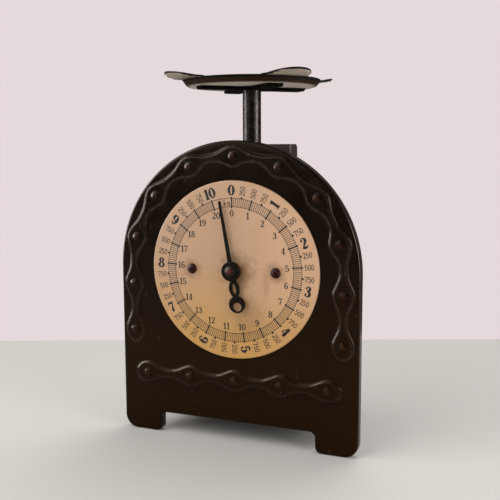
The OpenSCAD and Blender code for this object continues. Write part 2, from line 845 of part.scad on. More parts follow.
module upper_eyes() {
    color([0.42, 0.39, 0.36]) for (side = [-1, 1])
        translate([side * spring_at, 0, bar_bottom - eye_drop])
            eye_screw(eye_drop - hook_r + bar_t + nut_h + thread_end);
}

module upper_eye_nuts() {
    color([0.38, 0.36, 0.33]) for (side = [-1, 1])
        translate([side * spring_at, 0, bar_top]) hex_nut(nut_af, wire_r + seat, nut_h);
}

module guide_rod() {
    chamfer = 1;
    stud = base_t + rod_nut_h + thread_end;
    color([0.50, 0.48, 0.45]) {
        translate([0, 0, deck_z]) cylinder(r = rod_r, h = rod_top - deck_z - chamfer);
        translate([0, 0, rod_top - chamfer])
            cylinder(r1 = rod_r, r2 = rod_r - chamfer, h = chamfer);
        translate([0, 0, deck_z - stud]) cylinder(r = rod_stud_r, h = stud);
    }
}

module rod_nut() {
    across = 10;
    color([0.38, 0.36, 0.33]) translate([0, 0, deck_z - base_t - rod_nut_h])
        hex_nut(across, rod_stud_r + seat, rod_nut_h);
}

// Line of a hanging spring: a hook ring, a neck, the coil, a neck and a hook ring
function hook_line() = [for (a = [30 : 33 : 330]) [0, hook_r * sin(a), hook_r * cos(a)]];
function neck_line(neck) = [for (t = [0 : 0.2 : 0.81])
    let (r = coil_d / 2 * sin(90 * t), turn = 90 + 180 * t)
    [r * cos(turn), r * sin(turn), hook_r + neck * t * t]];
function lower_end(neck) = concat(hook_line(), neck_line(neck));
function coil_line(low, high) =
    let (steps = 10 * spring_turns + 5)
    [for (i = [0 : steps])
        let (turn = 270 + 36 * i)
        [coil_d / 2 * cos(turn), coil_d / 2 * sin(turn), low + (high - low) * i / steps]];
function spring_line(neck) =
    let (span = upper_hook_z - lower_hook_z,
         lower = lower_end(neck),
         upper = [for (i = [len(lower) - 1 : -1 : 0])
             [lower[i][0], -lower[i][1], span - lower[i][2]]])
    concat(lower, coil_line(hook_r + neck, span - hook_r - neck), upper);

// Rings of a round tube along a line: each ring's zero point is carried on without twist
function unit(v) = v / norm(v);
function heading(line, i) = unit(line[min(i + 1, len(line) - 1)] - line[max(i - 1, 0)]);
function square_to(v, way) = unit(v - way * (v * way));
module tube(line, radius, sides) {
    count = len(line);
    normals = [for (i = 0, n = [1, 0, 0]; i < count;
        i = i + 1, n = i < count ? square_to(n, heading(line, i)) : n) n];
    points = [for (i = [0 : count - 1])
        let (way = heading(line, i), n = square_to(normals[i], way), b = cross(way, n))
        for (j = [0 : sides - 1])
            line[i] + radius * (cos(360 * j / sides) * n + sin(360 * j / sides) * b)];
    walls = [for (i = [0 : count - 2], j = [0 : sides - 1])
        let (a = i * sides + j, b = i * sides + (j + 1) % sides)
        each [[a, b + sides, b], [a, a + sides, b + sides]]];
    first = [for (j = [1 : sides - 2]) [0, j, j + 1]];
    base = (count - 1) * sides;
    final = [for (j = [1 : sides - 2]) [base, base + j + 1, base + j]];
    polyhedron(points, concat(first, walls, final), convexity = 20);
}

module spring() {
    neck = 4;
    color([0.42, 0.40, 0.38]) translate([0, 0, lower_hook_z])
        tube(spring_line(neck), wire_r, 6);
}

module left_spring() {
    translate([-spring_at, 0, 0]) spring();
}

module right_spring() {
    translate([spring_at, 0, 0]) spring();
}

// Height of the pan's underside at a radius: flat floor, bent wall, flared lobes
function wall_rise(r) = pan_rim_h
    * (1 - cos(90 * (r - pan_floor_r) / (pan_rim_r - pan_floor_r)));
function lobe_rise(r) = pan_rim_h + (lobe_h - pan_rim_h)
    * pow((r - pan_rim_r) / (lobe_reach - pan_rim_r), lobe_flare);
pan_radii = concat(
    [for (i = [0 : 5]) pan_floor_r + (pan_rim_r - pan_floor_r) * i / 5],
    [for (i = [1 : 6]) pan_rim_r + (lobe_reach + 1 - pan_rim_r) * i / 6]);
function pan_rise_at(r) = r <= pan_rim_r ? wall_rise(r) : lobe_rise(r);

// The pan's outline: a round rim with four tongues, the corners beside them hollowed out
module pan_outline() {
    half = lobe_w / 2;
    fillet_y = half + lobe_fillet;
    fillet_x = sqrt(pow(pan_rim_r + lobe_fillet, 2) - pow(fillet_y, 2));
    circle(r = pan_rim_r, $fn = 120);
    for (quarter = [0 : 3]) rotate(90 * quarter + 45 + pan_turn) {
        translate([lobe_reach - half, 0]) circle(r = half);
        translate([0, -half]) square([lobe_reach - half, lobe_w]);
        for (side = [0, 1]) mirror([0, side]) difference() {
            polygon([[0, 0], [fillet_x, 0], [fillet_x, fillet_y]]);
            translate([fillet_x, fillet_y]) circle(r = lobe_fillet);
        }
    }
}

module pan() {
    // the sheet's upright thickness where it slopes
    slope_t = 1.08 * pan_t;
    under = [for (r = pan_radii) [r, pan_rise_at(r)]];
    over_side = [for (i = [len(pan_radii) - 1 : -1 : 0])
        let (r = pan_radii[i]) [r, pan_rise_at(r) + (i == 0 ? pan_t : slope_t)]];
    color([0.80, 0.77, 0.72]) difference() {
        intersection() {
            translate([0, 0, pan_z]) rotate_extrude($fn = 120)
                polygon(concat([[0, 0]], under, over_side, [[0, pan_t]]));
            translate([0, 0, pan_z - over]) linear_extrude(2 * lobe_h) pan_outline();
        }
        pan_screw_form(seat);
    }
}

// Cross of four bevelled arms under the pan
module pan_cross() {
    bevel = 1.5;
    disc_r = cross_w;
    color([0.05, 0.045, 0.04]) difference() {
        translate([0, 0, post_top]) {
            cylinder(r = disc_r, h = cross_t);
            for (quarter = [0 : 3]) rotate(90 * quarter + 45)
                rotate([90, 0, 0]) translate([0, 0, -cross_w / 2]) linear_extrude(cross_w)
                    polygon([[0, 0], [cross_reach - bevel, 0], [cross_reach, cross_t],
                        [0, cross_t]]);
        }
        pan_screw_form(seat);
    }
}

// The pan's countersunk screw, flush with the pan's floor and grown by a clearance
module pan_screw_form(more) {
    thread = 10;
    neck = pan_screw_head_r - pan_screw_r;
    length = pan_t + cross_t + thread;
    translate([0, 0, pan_floor_z - length]) cylinder(r = pan_screw_r + more, h = length);
    translate([0, 0, pan_floor_z - neck])
        cylinder(r1 = pan_screw_r + more, r2 = pan_screw_head_r + more, h = neck);
    if (more > 0) translate([0, 0, pan_floor_z]) cylinder(r = pan_screw_head_r + more, h = over);
}

module pan_screw() {
    slot_w = 1.2;
    slot_depth = 1;
    color([0.40, 0.37, 0.34]) difference() {
        pan_screw_form(0);
        translate([-2 * pan_screw_head_r, -slot_w / 2, pan_floor_z - slot_depth])
            cube([4 * pan_screw_head_r, slot_w, 2 * slot_depth]);
    }
}

module post() {
    color([0.20, 0.15, 0.12]) translate([0, 0, post_bottom]) difference() {
        ring(post_r, post_bore_r, post_top - post_bottom);
        translate([0, post_d, head_pin_z - post_bottom]) rotate([90, 0, 0])
            cylinder(r = head_pin_r + seat, h = 2 * post_d);
    }
}

// Plug in the top of the post, tapped for the pan's screw
module post_plug() {
    plug_l = 14;
    color([0.36, 0.33, 0.30]) translate([0, 0, post_top - plug_l])
        ring(post_bore_r - seat, pan_screw_r + seat, plug_l);
}

// Crosshead: a bar with a boss for the post, a lug for each spring and an arm for the rack
module crosshead() {
    color([0.36, 0.33, 0.30]) difference() {
        union() {
            translate([-head_half, -head_w / 2, head_z - head_h / 2])
                cube([2 * head_half, head_w, head_h]);
            translate([0, 0, head_boss_z]) cylinder(r = head_boss_r, h = head_boss_h);
            translate([rack_back_x, rack_y, head_z - arm_h / 2]) cube([arm_t, -rack_y, arm_h]);
        }
        translate([0, 0, head_z - head_boss_h]) cylinder(r = post_r + seat, h = 2 * head_boss_h);
        for (side = [-1, 1]) translate([side * spring_at, 0, head_z - head_h])
            cylinder(r = wire_r + seat, h = 2 * head_h);
        translate([0, post_d, head_pin_z]) rotate([90, 0, 0])
            cylinder(r = head_pin_r + seat, h = 2 * post_d);
        at_rack_screws() translate([0, 0, -arm_t - over])
            cylinder(r = rack_screw_r + seat, h = arm_t + 2 * over);
    }
}

// Two short pins hold the crosshead on the post and stay clear of the rod inside it
module crosshead_pins() {
    proud = 1;
    color([0.50, 0.48, 0.45]) for (side = [-1, 1])
        translate([0, 0, head_pin_z]) rotate([side * 90, 0, 0])
            translate([0, 0, post_bore_r])
                cylinder(r = head_pin_r, h = head_boss_r + proud - post_bore_r);
}

module rod_bush() {
    flange = 1.5;
    length = 12;
    color([0.72, 0.55, 0.28]) translate([0, 0, post_bottom - flange]) difference() {
        union() {
            cylinder(r = post_r, h = flange);
            cylinder(r = post_bore_r - seat, h = flange + length);
        }
        translate([0, 0, -over]) cylinder(r = rod_r + slide_play, h = length + flange + 2 * over);
    }
}

module lower_eyes() {
    color([0.42, 0.39, 0.36]) for (side = [-1, 1])
        translate([side * spring_at, 0, head_z + head_h / 2 + eye_drop]) mirror([0, 0, 1])
            eye_screw(eye_drop - hook_r + head_h + nut_h + thread_end);
}

module lower_eye_nuts() {
    color([0.38, 0.36, 0.33]) for (side = [-1, 1])
        translate([side * spring_at, 0, head_z - head_h / 2 - nut_h])
            hex_nut(nut_af, wire_r + seat, nut_h);
}

// Outline of the rack in X and Z: one tooth lies level with the arbor at rest
module rack() {
    pitch = PI * tooth_module;
    tip = pitch_r - 0.85 * tooth_module;
    slant = tan(press);
    half = pitch / 4 - flank_play;
    down = 4;
    up = ceil(travel / pitch) + 3;
    low_end = head_z - arm_h / 2;
    high_end = dial_z + (up + 1) * pitch;
    teeth = [for (i = [-down : up]) each [
        [rack_side, dial_z + i * pitch - half - (rack_side - pitch_r) * slant],
        [tip, dial_z + i * pitch - half + (pitch_r - tip) * slant],
        [tip, dial_z + i * pitch + half - (pitch_r - tip) * slant],
        [rack_side, dial_z + i * pitch + half + (rack_side - pitch_r) * slant]]];
    color([0.66, 0.52, 0.28]) translate([0, rack_y + rack_t, 0]) rotate([90, 0, 0])
        linear_extrude(rack_t) polygon(concat(
            [[rack_back_x, low_end], [rack_side, low_end]], teeth,
            [[rack_side, high_end], [rack_back_x, high_end]]));
}

// Places on the arm's outer face, with +Z pointing away from the rack
module at_rack_screws() {
    for (z = [-1, 1])
        translate([rack_back_x + arm_t, rack_y + rack_t / 2, head_z + z * rack_screw_dz])
            rotate([0, 90, 0]) children();
}

module rack_screws() {
    head_h = 1.2;
    color([0.36, 0.33, 0.30]) at_rack_screws() {
        dome(3.6 * rack_screw_r, head_h);
        translate([0, 0, -arm_t]) cylinder(r = rack_screw_r, h = arm_t + root);
    }
}

// The pointer lies in the dial's plane; its own +Y points to the tip
module pointer() {
    disc_r = hub_d / 2 - 0.5;
    loop_mid = (hub_d / 2 + tail_ring_at - tail_ring_d / 2) / 2;
    loop_l = 15.2;
    loop_half = 3.9;
    loop_gap_l = 10.6;
    loop_gap_half = 2;
    color([0.04, 0.035, 0.03]) upright(hub_front + hub_t + seat + pointer_t)
        translate([0, dial_z, 0]) rotate(-pointer_rest) linear_extrude(pointer_t) {
            difference() {
                circle(r = disc_r);
                circle(r = hub_neck_r + seat);
            }
            polygon([[-pointer_root_w / 2, disc_r - 1], [pointer_root_w / 2, disc_r - 1],
                [pointer_tip_w / 2, pointer_reach - pointer_tip_w / 2], [0, pointer_reach],
                [-pointer_tip_w / 2, pointer_reach - pointer_tip_w / 2]]);
            translate([0, -loop_mid]) difference() {
                lens(loop_l, loop_half);
                lens(loop_gap_l, loop_gap_half);
                translate([0, loop_mid]) circle(r = disc_r - 0.5);
            }
            translate([0, -tail_ring_at]) difference() {
                circle(d = tail_ring_d);
                translate([0, -tail_hole_off]) circle(d = tail_hole_d);
            }
        }
}

// A pointed oval of a given length and half width, long along Y
module lens(length, half) {
    big = (length * length / 4 + half * half) / (2 * half);
    intersection() {
        translate([big - half, 0]) circle(r = big, $fn = 96);
        translate([half - big, 0]) circle(r = big, $fn = 96);
    }
}

// Hub: a collared boss on the arbor with a disc in front of the pointer
module pointer_hub() {
    sheet_back = hub_t + 2 * seat + pointer_t;
    boss_end = hub_stand - 0.5;
    rim_r = 0.8;
    color([0.05, 0.04, 0.035]) upright(hub_front) translate([0, dial_z, 0]) difference() {
        union() {
            translate([0, 0, -hub_t]) rotate_extrude() {
                square([hub_d / 2 - rim_r, hub_t]);
                square([hub_d / 2, hub_t - rim_r]);
                translate([hub_d / 2 - rim_r, hub_t - rim_r]) circle(r = rim_r);
            }
            translate([0, 0, -sheet_back]) cylinder(r = hub_neck_r, h = sheet_back);
            translate([0, 0, -boss_end]) cylinder(r = hub_neck_r + 0.6, h = boss_end - sheet_back);
        }
        translate([0, 0, -hub_stand]) cylinder(r = arbor_thin_r + seat, h = 2 * hub_stand);
    }
}

module cap_nut() {
    ball = 0.72 * cap_d;
    thread = 1.4;
    color([0.16, 0.08, 0.06]) upright(hub_front) translate([0, dial_z, 0]) difference() {
        rotate_extrude() intersection() {
            translate([0, cap_h - ball]) circle(r = ball);
            square([cap_d / 2, cap_h]);
        }
        translate([0, 0, -over]) cylinder(r = arbor_thin_r + seat, h = thread + over);
    }
}

// Arbor: a turned spindle with a shoulder behind the pinion
module arbor() {
    back = bridge_back + 1.5;
    thin_front = hub_front - 1.2;
    thick_front = hub_front + hub_stand - 0.4;
    shoulder_r = arbor_r + 0.9;
    shoulder_front = pinion_front + pinion_w;
    shoulder_back = bridge_back - bridge_t - 1.5;
    color([0.56, 0.54, 0.50]) upright(back) translate([0, dial_z, 0]) {
        cylinder(r = arbor_r, h = back - thick_front);
        translate([0, 0, back - thick_front])
            cylinder(r = arbor_thin_r, h = thick_front - thin_front);
        translate([0, 0, back - shoulder_back])
            cylinder(r = shoulder_r, h = shoulder_back - shoulder_front);
    }
}

// Involute flank: point at an unrolled angle from the base circle
function involute(base_r, turn) = let (arc = turn * PI / 180)
    base_r * [cos(turn) + arc * sin(turn), sin(turn) - arc * cos(turn)];
function turned(p, a) = [p[0] * cos(a) - p[1] * sin(a), p[0] * sin(a) + p[1] * cos(a)];

// Pinion with a tooth space facing the rack at rest
module pinion() {
    base_r = pitch_r * cos(press);
    tip_r = pitch_r + 0.9 * tooth_module;
    root_r = pitch_r - tooth_depth;
    boss_r = arbor_r + 1.2;
    step = 360 / pinion_teeth;
    lean = tan(press) * 180 / PI - press;
    half = step / 4 - flank_play / pitch_r * 180 / PI + lean;
    tip_turn = sqrt(pow(tip_r / base_r, 2) - 1) * 180 / PI;
    flank = [for (i = [0 : 4]) turned(involute(base_r, tip_turn * i / 4), -half)];
    foot = [root_r * cos(half), -root_r * sin(half)];
    right = concat([foot], flank);
    left = [for (i = [len(right) - 1 : -1 : 0]) [right[i][0], -right[i][1]]];
    tooth = concat(right, left);
    outline = [for (k = [0 : pinion_teeth - 1], p = tooth) turned(p, step * (k + 0.5))];
    color([0.72, 0.55, 0.28]) upright(pinion_front + pinion_w) translate([0, dial_z, 0])
        difference() {
            union() {
                linear_extrude(pinion_w) polygon(outline);
                cylinder(r = boss_r, h = pinion_w + pinion_boss_l);
            }
            translate([0, 0, -over])
                cylinder(r = arbor_r + seat / 2, h = pinion_w + pinion_boss_l + 2 * over);
        }
}

front_plate();
dial();
dial_screws();
dial_spacers();
dial_nuts();
arbor_bridge();
front_bush();
rear_bush();
base();
base_rivets();
frame();
left_bracket();
right_bracket();
plate_rivets();
frame_rivets();
top_bar();
bar_screws();
guide_bush();
upper_eyes();
upper_eye_nuts();
guide_rod();
rod_nut();
left_spring();
right_spring();
pan();
pan_cross();
pan_screw();
post();
post_plug();
crosshead();
crosshead_pins();
rod_bush();
lower_eyes();
lower_eye_nuts();
rack();
rack_screws();
pointer();
pointer_hub();
cap_nut();
arbor();
pinion();
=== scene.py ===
"""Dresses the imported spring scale: pressed plate, printed dial, pan, springs and finishes."""

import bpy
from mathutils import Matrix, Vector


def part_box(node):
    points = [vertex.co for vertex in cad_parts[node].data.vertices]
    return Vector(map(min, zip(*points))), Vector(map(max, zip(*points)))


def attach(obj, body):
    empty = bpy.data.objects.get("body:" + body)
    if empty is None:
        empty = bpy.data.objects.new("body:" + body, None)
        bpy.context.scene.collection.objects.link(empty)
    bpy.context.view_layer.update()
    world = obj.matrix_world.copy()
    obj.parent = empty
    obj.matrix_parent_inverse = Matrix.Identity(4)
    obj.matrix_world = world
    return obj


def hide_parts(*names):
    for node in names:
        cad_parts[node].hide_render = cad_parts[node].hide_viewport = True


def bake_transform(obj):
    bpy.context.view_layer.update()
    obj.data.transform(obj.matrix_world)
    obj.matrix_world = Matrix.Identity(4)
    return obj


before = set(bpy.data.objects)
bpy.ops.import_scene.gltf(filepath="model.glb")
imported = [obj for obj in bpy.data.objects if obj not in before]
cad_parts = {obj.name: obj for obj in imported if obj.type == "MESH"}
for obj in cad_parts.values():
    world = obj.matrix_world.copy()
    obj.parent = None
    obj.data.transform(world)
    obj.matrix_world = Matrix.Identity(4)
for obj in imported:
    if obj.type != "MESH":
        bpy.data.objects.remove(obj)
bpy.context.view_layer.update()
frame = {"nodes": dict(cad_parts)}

import math
from itertools import accumulate

import bmesh
import bpy
import numpy as np
from bpy.props import FloatProperty, FloatVectorProperty, IntProperty, PointerProperty
from mathutils import Matrix, Vector

bl_info = {
    "name": "Household spring scale",
    "version": (1, 0, 0),
    "blender": (4, 5, 0),
    "location": "3D View > Sidebar > Scale",
    "description": "Makes the visible pieces and finishes of a spring scale around its frame",
    "category": "Add Mesh",
}


# Sizes and colours

def length(name, description, value):
    """A length in metres that a user may change."""
    return FloatProperty(name=name, description=description, default=value, min=0,
                         unit="LENGTH", precision=5)


def colour(name, description, value):
    """A surface colour that a user may change."""
    return FloatVectorProperty(name=name, description=description, default=value, size=3,
                               min=0, max=1, subtype="COLOR")


plate_low, plate_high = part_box("front_plate")
dial_low, dial_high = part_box("dial")
left_low, left_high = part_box("left_spring")
right_low, right_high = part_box("right_spring")
PLATE_SHEET = 0.001
PLATE_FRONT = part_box("base")[0][1] - PLATE_SHEET


class PlateSizes(bpy.types.PropertyGroup):
    """Sizes of the pressed face plate."""
    radius: length("Plate radius", "Radius of the arch, half the plate's width",
                   (plate_high[0] - plate_low[0]) / 2)
    centre: length("Dial height", "Height of the dial's centre above the table",
                   (dial_low[2] + dial_high[2]) / 2)
    sheet: length("Sheet", "Thickness of the plate's sheet", PLATE_SHEET)
    edge_radius: length("Edge radius", "Outer radius of the folded edge", 0.002)
    edge_depth: length("Edge depth", "Depth of the folded edge", 0.008)
    gap_half: length("Half gap", "Half the width of the gap between the feet", 0.066)
    gap_height: length("Gap height", "Height of the gap between the feet", 0.0163)
    gap_corner: length("Gap corner", "Radius of the gap's top corners", 0.0045)
    foot_outer: length("Outer foot radius", "Radius of a foot's outer corner", 0.011)
    foot_inner: length("Inner foot radius", "Radius of a foot's inner corner", 0.005)
    bush_hole: length("Bush hole", "Radius of the hole for the arbor's bush", 0.00505)
    chain_in: length("Chain inset", "From the plate's edge in to the chain's middle", 0.0122)
    chain_height: length("Chain height", "Height of the pressed chain", 0.0015)
    chain_wide: length("Chain width", "Width of the chain's top at a bead", 0.0138)
    chain_narrow: length("Chain neck", "Width of the chain's top between beads", 0.003)
    chain_slope: length("Chain slope", "Width of the chain's sloping side", 0.0023)
    chain_end: length("Chain end", "Length of the round end past the last bead", 0.0092)
    low_chain: length("Low chain", "Height of the straight chain above the table", 0.05)
    pitch: length("Bead pitch", "Distance between two beads", 0.0382)
    bead_radius: length("Bead radius", "Radius of a bead", 0.004)
    bead_height: length("Bead height", "Height of a bead above the chain", 0.0012)
    arch_beads: IntProperty(name="Arch beads", default=5, min=1,
                            description="Beads on each side of the arch's top bead")
    low_beads: IntProperty(name="Low beads", default=2, min=1,
                           description="Beads on each side of the straight chain's middle bead")


class DialSizes(bpy.types.PropertyGroup):
    """Sizes of what is printed on the dial."""
    ring_inner: length("Ring inner radius", "Radius of the inner circle line", 0.0495)
    ring_outer: length("Ring outer radius", "Radius of the outer circle line", 0.056)
    mark_over: length("Mark overhang", "How far a long mark passes the circle lines", 0.0011)
    fine_line: length("Fine line", "Width of the circle lines and fine marks", 0.00042)
    bold_line: length("Bold line", "Width of the long marks", 0.00115)
    ink: length("Ink", "Thickness of the print", 0.00003)
    large: length("Large numerals", "Height of the kilogram numerals", 0.008)
    large_at: length("Large numerals' radius", "Radius of the kilogram numerals", 0.0622)
    small: length("Small numerals", "Height of the gram numerals", 0.0044)
    small_at: length("Small numerals' radius", "Radius of the gram numerals", 0.0620)
    inner: length("Inner numerals", "Height of the inner numerals", 0.005)
    inner_at: length("Inner numerals' radius", "Radius of the inner numerals", 0.0445)
    unit: length("Unit", "Height of the unit's letters", 0.0042)
    zero: FloatProperty(name="Zero", description="Angle of the zero mark, clockwise from up",
                        default=math.radians(-1), unit="ROTATION")
    span: FloatProperty(name="Kilogram", description="Angle of one kilogram on the dial",
                        default=math.radians(34.28), unit="ROTATION")


class PointerSizes(bpy.types.PropertyGroup):
    """Sizes of the pointer."""
    spread: length("Spread", "How far the stamped outline stands out past the solid's", 0.00045)


class PanSizes(bpy.types.PropertyGroup):
    """Sizes of the lobed pan."""
    sheet: length("Sheet", "Thickness of the pan's sheet", 0.001)
    hole: length("Screw hole", "Radius of the hole for the pan's screw", 0.00506)
    floor: length("Floor radius", "Radius of the flat bottom", 0.050)
    rim: length("Rim radius", "Radius of the rim between the lobes", 0.055)
    rim_height: length("Rim height", "Height of the rim above the underside", 0.0049)
    reach: length("Lobe reach", "Reach of the lobes from the axis", 0.0735)
    lobe_height: length("Lobe height", "Height of the lobes' tips", 0.0084)
    lobe_half: length("Half lobe", "Half the width of a lobe", 0.017)
    fillet: length("Lobe fillet", "Radius of the hollow beside a lobe", 0.006)
    turn: FloatProperty(name="Turn", description="Direction of the first lobe from +X",
                        default=math.radians(50), unit="ROTATION")
    lip: length("Lip", "How far the lobes' edge is turned up", 0.0006)
    flare: FloatProperty(name="Flare", description="How sharply a lobe turns up, 1 for straight",
                         default=1.7, min=1)


class SpringSizes(bpy.types.PropertyGroup):
    """Sizes of the two springs."""
    wire: length("Wire", "Diameter of the wire", 0.0018)
    coil: length("Coil", "Middle diameter of the coil", 0.0122)
    hook: length("Hook", "Middle radius of the hook rings", 0.0032)
    neck: length("Neck", "Height between a hook ring and the coil", 0.004)
    turns: FloatProperty(name="Turns", description="Turns of the coil", default=26.5, min=1)


class ScaleColours(bpy.types.PropertyGroup):
    """Colours of the finishes."""
    paint: colour("Paint", "Black-brown enamel of plate and base", (0.0045, 0.0023, 0.0011))
    # Painted warm reflection: the browner enamel low on the plate.
    paint_warm: colour("Warm paint", "Browner enamel low on the plate", (0.0108, 0.0040, 0.0006))
    # Partly worn paint, partly painted highlight and warm reflection: brown on the chain's
    # shoulders and the fold's bend.
    paint_worn: colour("Worn paint", "Thin brown paint on the chain's shoulders",
                       (0.060, 0.040, 0.026))
    bare: colour("Worn spots", "Scuffs and chips in the enamel", (0.11, 0.07, 0.045))
    cream: colour("Dial", "Dial sheet on its cooler side", (0.495, 0.300, 0.177))
    honey: colour("Aged dial", "Dial sheet on its yellowed side", (0.53, 0.279, 0.060))
    stain: colour("Stain", "Age stains round the hub and screws", (0.20, 0.09, 0.022))
    ink: colour("Ink", "Print on the dial", (0.006, 0.005, 0.005))
    steel: colour("Steel", "Small steel parts", (0.25, 0.235, 0.215))
    ground: colour("Ground steel", "Guide rod and arbor", (0.42, 0.4, 0.37))
    wire: colour("Wire", "Spring wire", (0.2, 0.185, 0.17))
    cast: colour("Cast iron", "Crosshead", (0.13, 0.12, 0.11))
    screw: colour("Browned screws", "Heads of the dial screws", (0.032, 0.0075, 0.0055))
    # Painted shade on the floors of the screws' slots.
    dirt: colour("Dirt", "Dirt in the screws' slots", (0.001, 0.0007, 0.0005))
    rust: colour("Rust", "Rust and browned steel", (0.085, 0.028, 0.012))
    brass: colour("Brass", "Bushes, rack and pinion", (0.52, 0.35, 0.13))
    crown: colour("Crown", "Rubbed crown of the cap nut", (0.07, 0.018, 0.012))
    lacquer: colour("Lacquer", "Black of pointer, hub and cross", (0.0060, 0.0042, 0.0030))
    frame: colour("Frame", "Dull brown paint of the spring frame", (0.042, 0.0215, 0.0145))
    pan: colour("Pan", "Old nickel of the pan", (0.57, 0.485, 0.40))
    pan_flat: colour("Pan bottom", "Paler nickel of the pan's flat bottom", (0.72, 0.64, 0.56))
    pan_wall: colour("Pan wall", "Browned wall of the pan", (0.021, 0.0085, 0.0022))
    pan_root: colour("Pan roots", "Browned roots of the pan's lobes", (0.12, 0.08, 0.045))
    post: colour("Post", "Browned post", (0.0075, 0.0037, 0.0029))
    floor: colour("Floor", "Pale floor", (0.62, 0.60, 0.57))
    wall: colour("Wall", "Pale backdrop", (0.78, 0.695, 0.71))


class ScaleSettings(bpy.types.PropertyGroup):
    """Everything that a user would change on the scale."""
    plate: PointerProperty(type=PlateSizes)
    dial: PointerProperty(type=DialSizes)
    pointer: PointerProperty(type=PointerSizes)
    pan: PointerProperty(type=PanSizes)
    spring: PointerProperty(type=SpringSizes)
    colours: PointerProperty(type=ScaleColours)


# Meshes

def link(name, data):
    """A new object for a mesh, a lamp or a camera, linked into the scene."""
    made = bpy.data.objects.new(name, data)
    bpy.context.scene.collection.objects.link(made)
    return made


def weld(mesh, distance, dissolve=True):
    """Merges the points that lie within a distance, and drops faces left without area."""
    work = bmesh.new()
    work.from_mesh(mesh)
    bmesh.ops.remove_doubles(work, verts=work.verts, dist=distance)
    if dissolve:
        bmesh.ops.dissolve_degenerate(work, edges=work.edges, dist=distance)
    work.to_mesh(mesh)
    work.free()


def smooth_step(t):
    """0 below 0, 1 above 1, and t*t*(3-2t) between."""
    t = np.clip(t, 0, 1)
    return t * t * (3 - 2 * t)


def grid_quads(rows, columns, wrap=False):
    """Quads between neighbours of a rows x columns grid; wrap closes the rows' direction."""
    i, j = np.meshgrid(np.arange(rows if wrap else rows - 1), np.arange(columns - 1),
                       indexing="ij")
    k = (i + 1) % rows
    return np.stack([i * columns + j, i * columns + j + 1, k * columns + j + 1,
                     k * columns + j], -1).reshape(-1, 4)


class Patches:
    """Collects grids of points, each with a value per point, into one mesh."""

    def __init__(self):
        self.points, self.quads, self.values, self.count = [], [], [], 0

    def add(self, grid, values=0.0, wrap=False, flip=False):
        rows, columns = grid.shape[:2]
        quads = grid_quads(rows, columns, wrap) + self.count
        self.quads.append(quads[:, ::-1] if flip else quads)
        self.points.append(grid.reshape(-1, 3))
        self.values.append(np.broadcast_to(values, (rows, columns)).reshape(-1))
        self.count += rows * columns

    def make(self, name, attribute=None, near=1e-7, smooth=True):
        """One object of all grids, with shared borders merged."""
        mesh = bpy.data.meshes.new(name)
        mesh.from_pydata(np.concatenate(self.points).tolist(), [],
                         np.concatenate(self.quads).tolist())
        if attribute:
            layer = mesh.attributes.new(attribute, "FLOAT", "POINT")
            layer.data.foreach_set("value", np.concatenate(self.values).astype(np.float32))
        weld(mesh, near)
        mesh.polygons.foreach_set("use_smooth", np.full(len(mesh.polygons), smooth))
        mesh.update()
        return link(name, mesh)


def thicken(piece, thickness, bevel=0):
    """Gives a sheet its thickness against its normals, and a small radius on its cut edges."""
    wall = piece.modifiers.new("Sheet", "SOLIDIFY")
    wall.thickness = thickness
    wall.offset = -1
    if bevel:
        edge = piece.modifiers.new("Edge", "BEVEL")
        edge.width = bevel
        edge.segments = 2
        edge.limit_method = "ANGLE"
        edge.angle_limit = math.radians(60)


def dress(piece, finish, body, slot, *nodes):
    """Finishes a new piece, sets it on its body, if it rides on one alone, and lets it stand
    for its CAD nodes."""
    piece.data.materials.clear()
    piece.data.materials.append(finish.material)
    if body:
        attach(piece, body)
    if nodes:
        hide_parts(*nodes)


# Face plate

SWELL = 1.4                     # Power that keeps the chain narrow between its beads
DOME = 1.2                      # Power of a bead's rounding
SHOULDER, WEAR_SHEEN_SPREAD = 0.75, 0.6      # Place on the slope of the most worn paint and painted highlight, and how far they spread
END_STEEP = 4                   # How fast the top fills up inside the last oval
BEAD_ZONE = 0.005               # Stretch on each side of a bead where stations are close
STATION_GAP = 0.0019            # Distance of the stations elsewhere
LEAST_TOP, LEAST_SLOPE = 0.0012, 0.0008     # Least half width of the grid's top, and slope
ARCH_BAND = 0.0118              # From the arched chain's middle in to the round field
LOW_BAND = 0.012                # From the straight chain's middle up to the round field
EVEN_PAST = 0.001               # From the straight chain's end to where its grid spreads evenly
NEAR = 1e-9                     # Two places closer than this are the same


def past_last(s, beads, z):
    """How far a distance s along a chain lies past its last bead."""
    return np.clip(np.abs(s) - beads * z.pitch, 0, None)


def chain_stop(beads, z):
    """Distance along a chain at which its last slope has run out."""
    return beads * z.pitch + z.chain_end + z.chain_slope


def half_oval(past, half, end):
    """Half width of a half oval, at a distance past its widest place."""
    return half * np.sqrt(np.clip(1 - (past / end) ** 2, 0, 1))


def chain_half(s, beads, z):
    """Half width of the chain's top at a distance s along it: the narrow half width plus a
    raised cosine, to the power SWELL, at each bead, and a half oval past the last bead."""
    wave = ((1 + np.cos(2 * np.pi * s / z.pitch)) / 2) ** SWELL
    along = z.chain_narrow / 2 + (z.chain_wide - z.chain_narrow) / 2 * wave
    past = past_last(s, beads, z)
    return np.where(past > 0, half_oval(past, z.chain_wide / 2, z.chain_end), along)


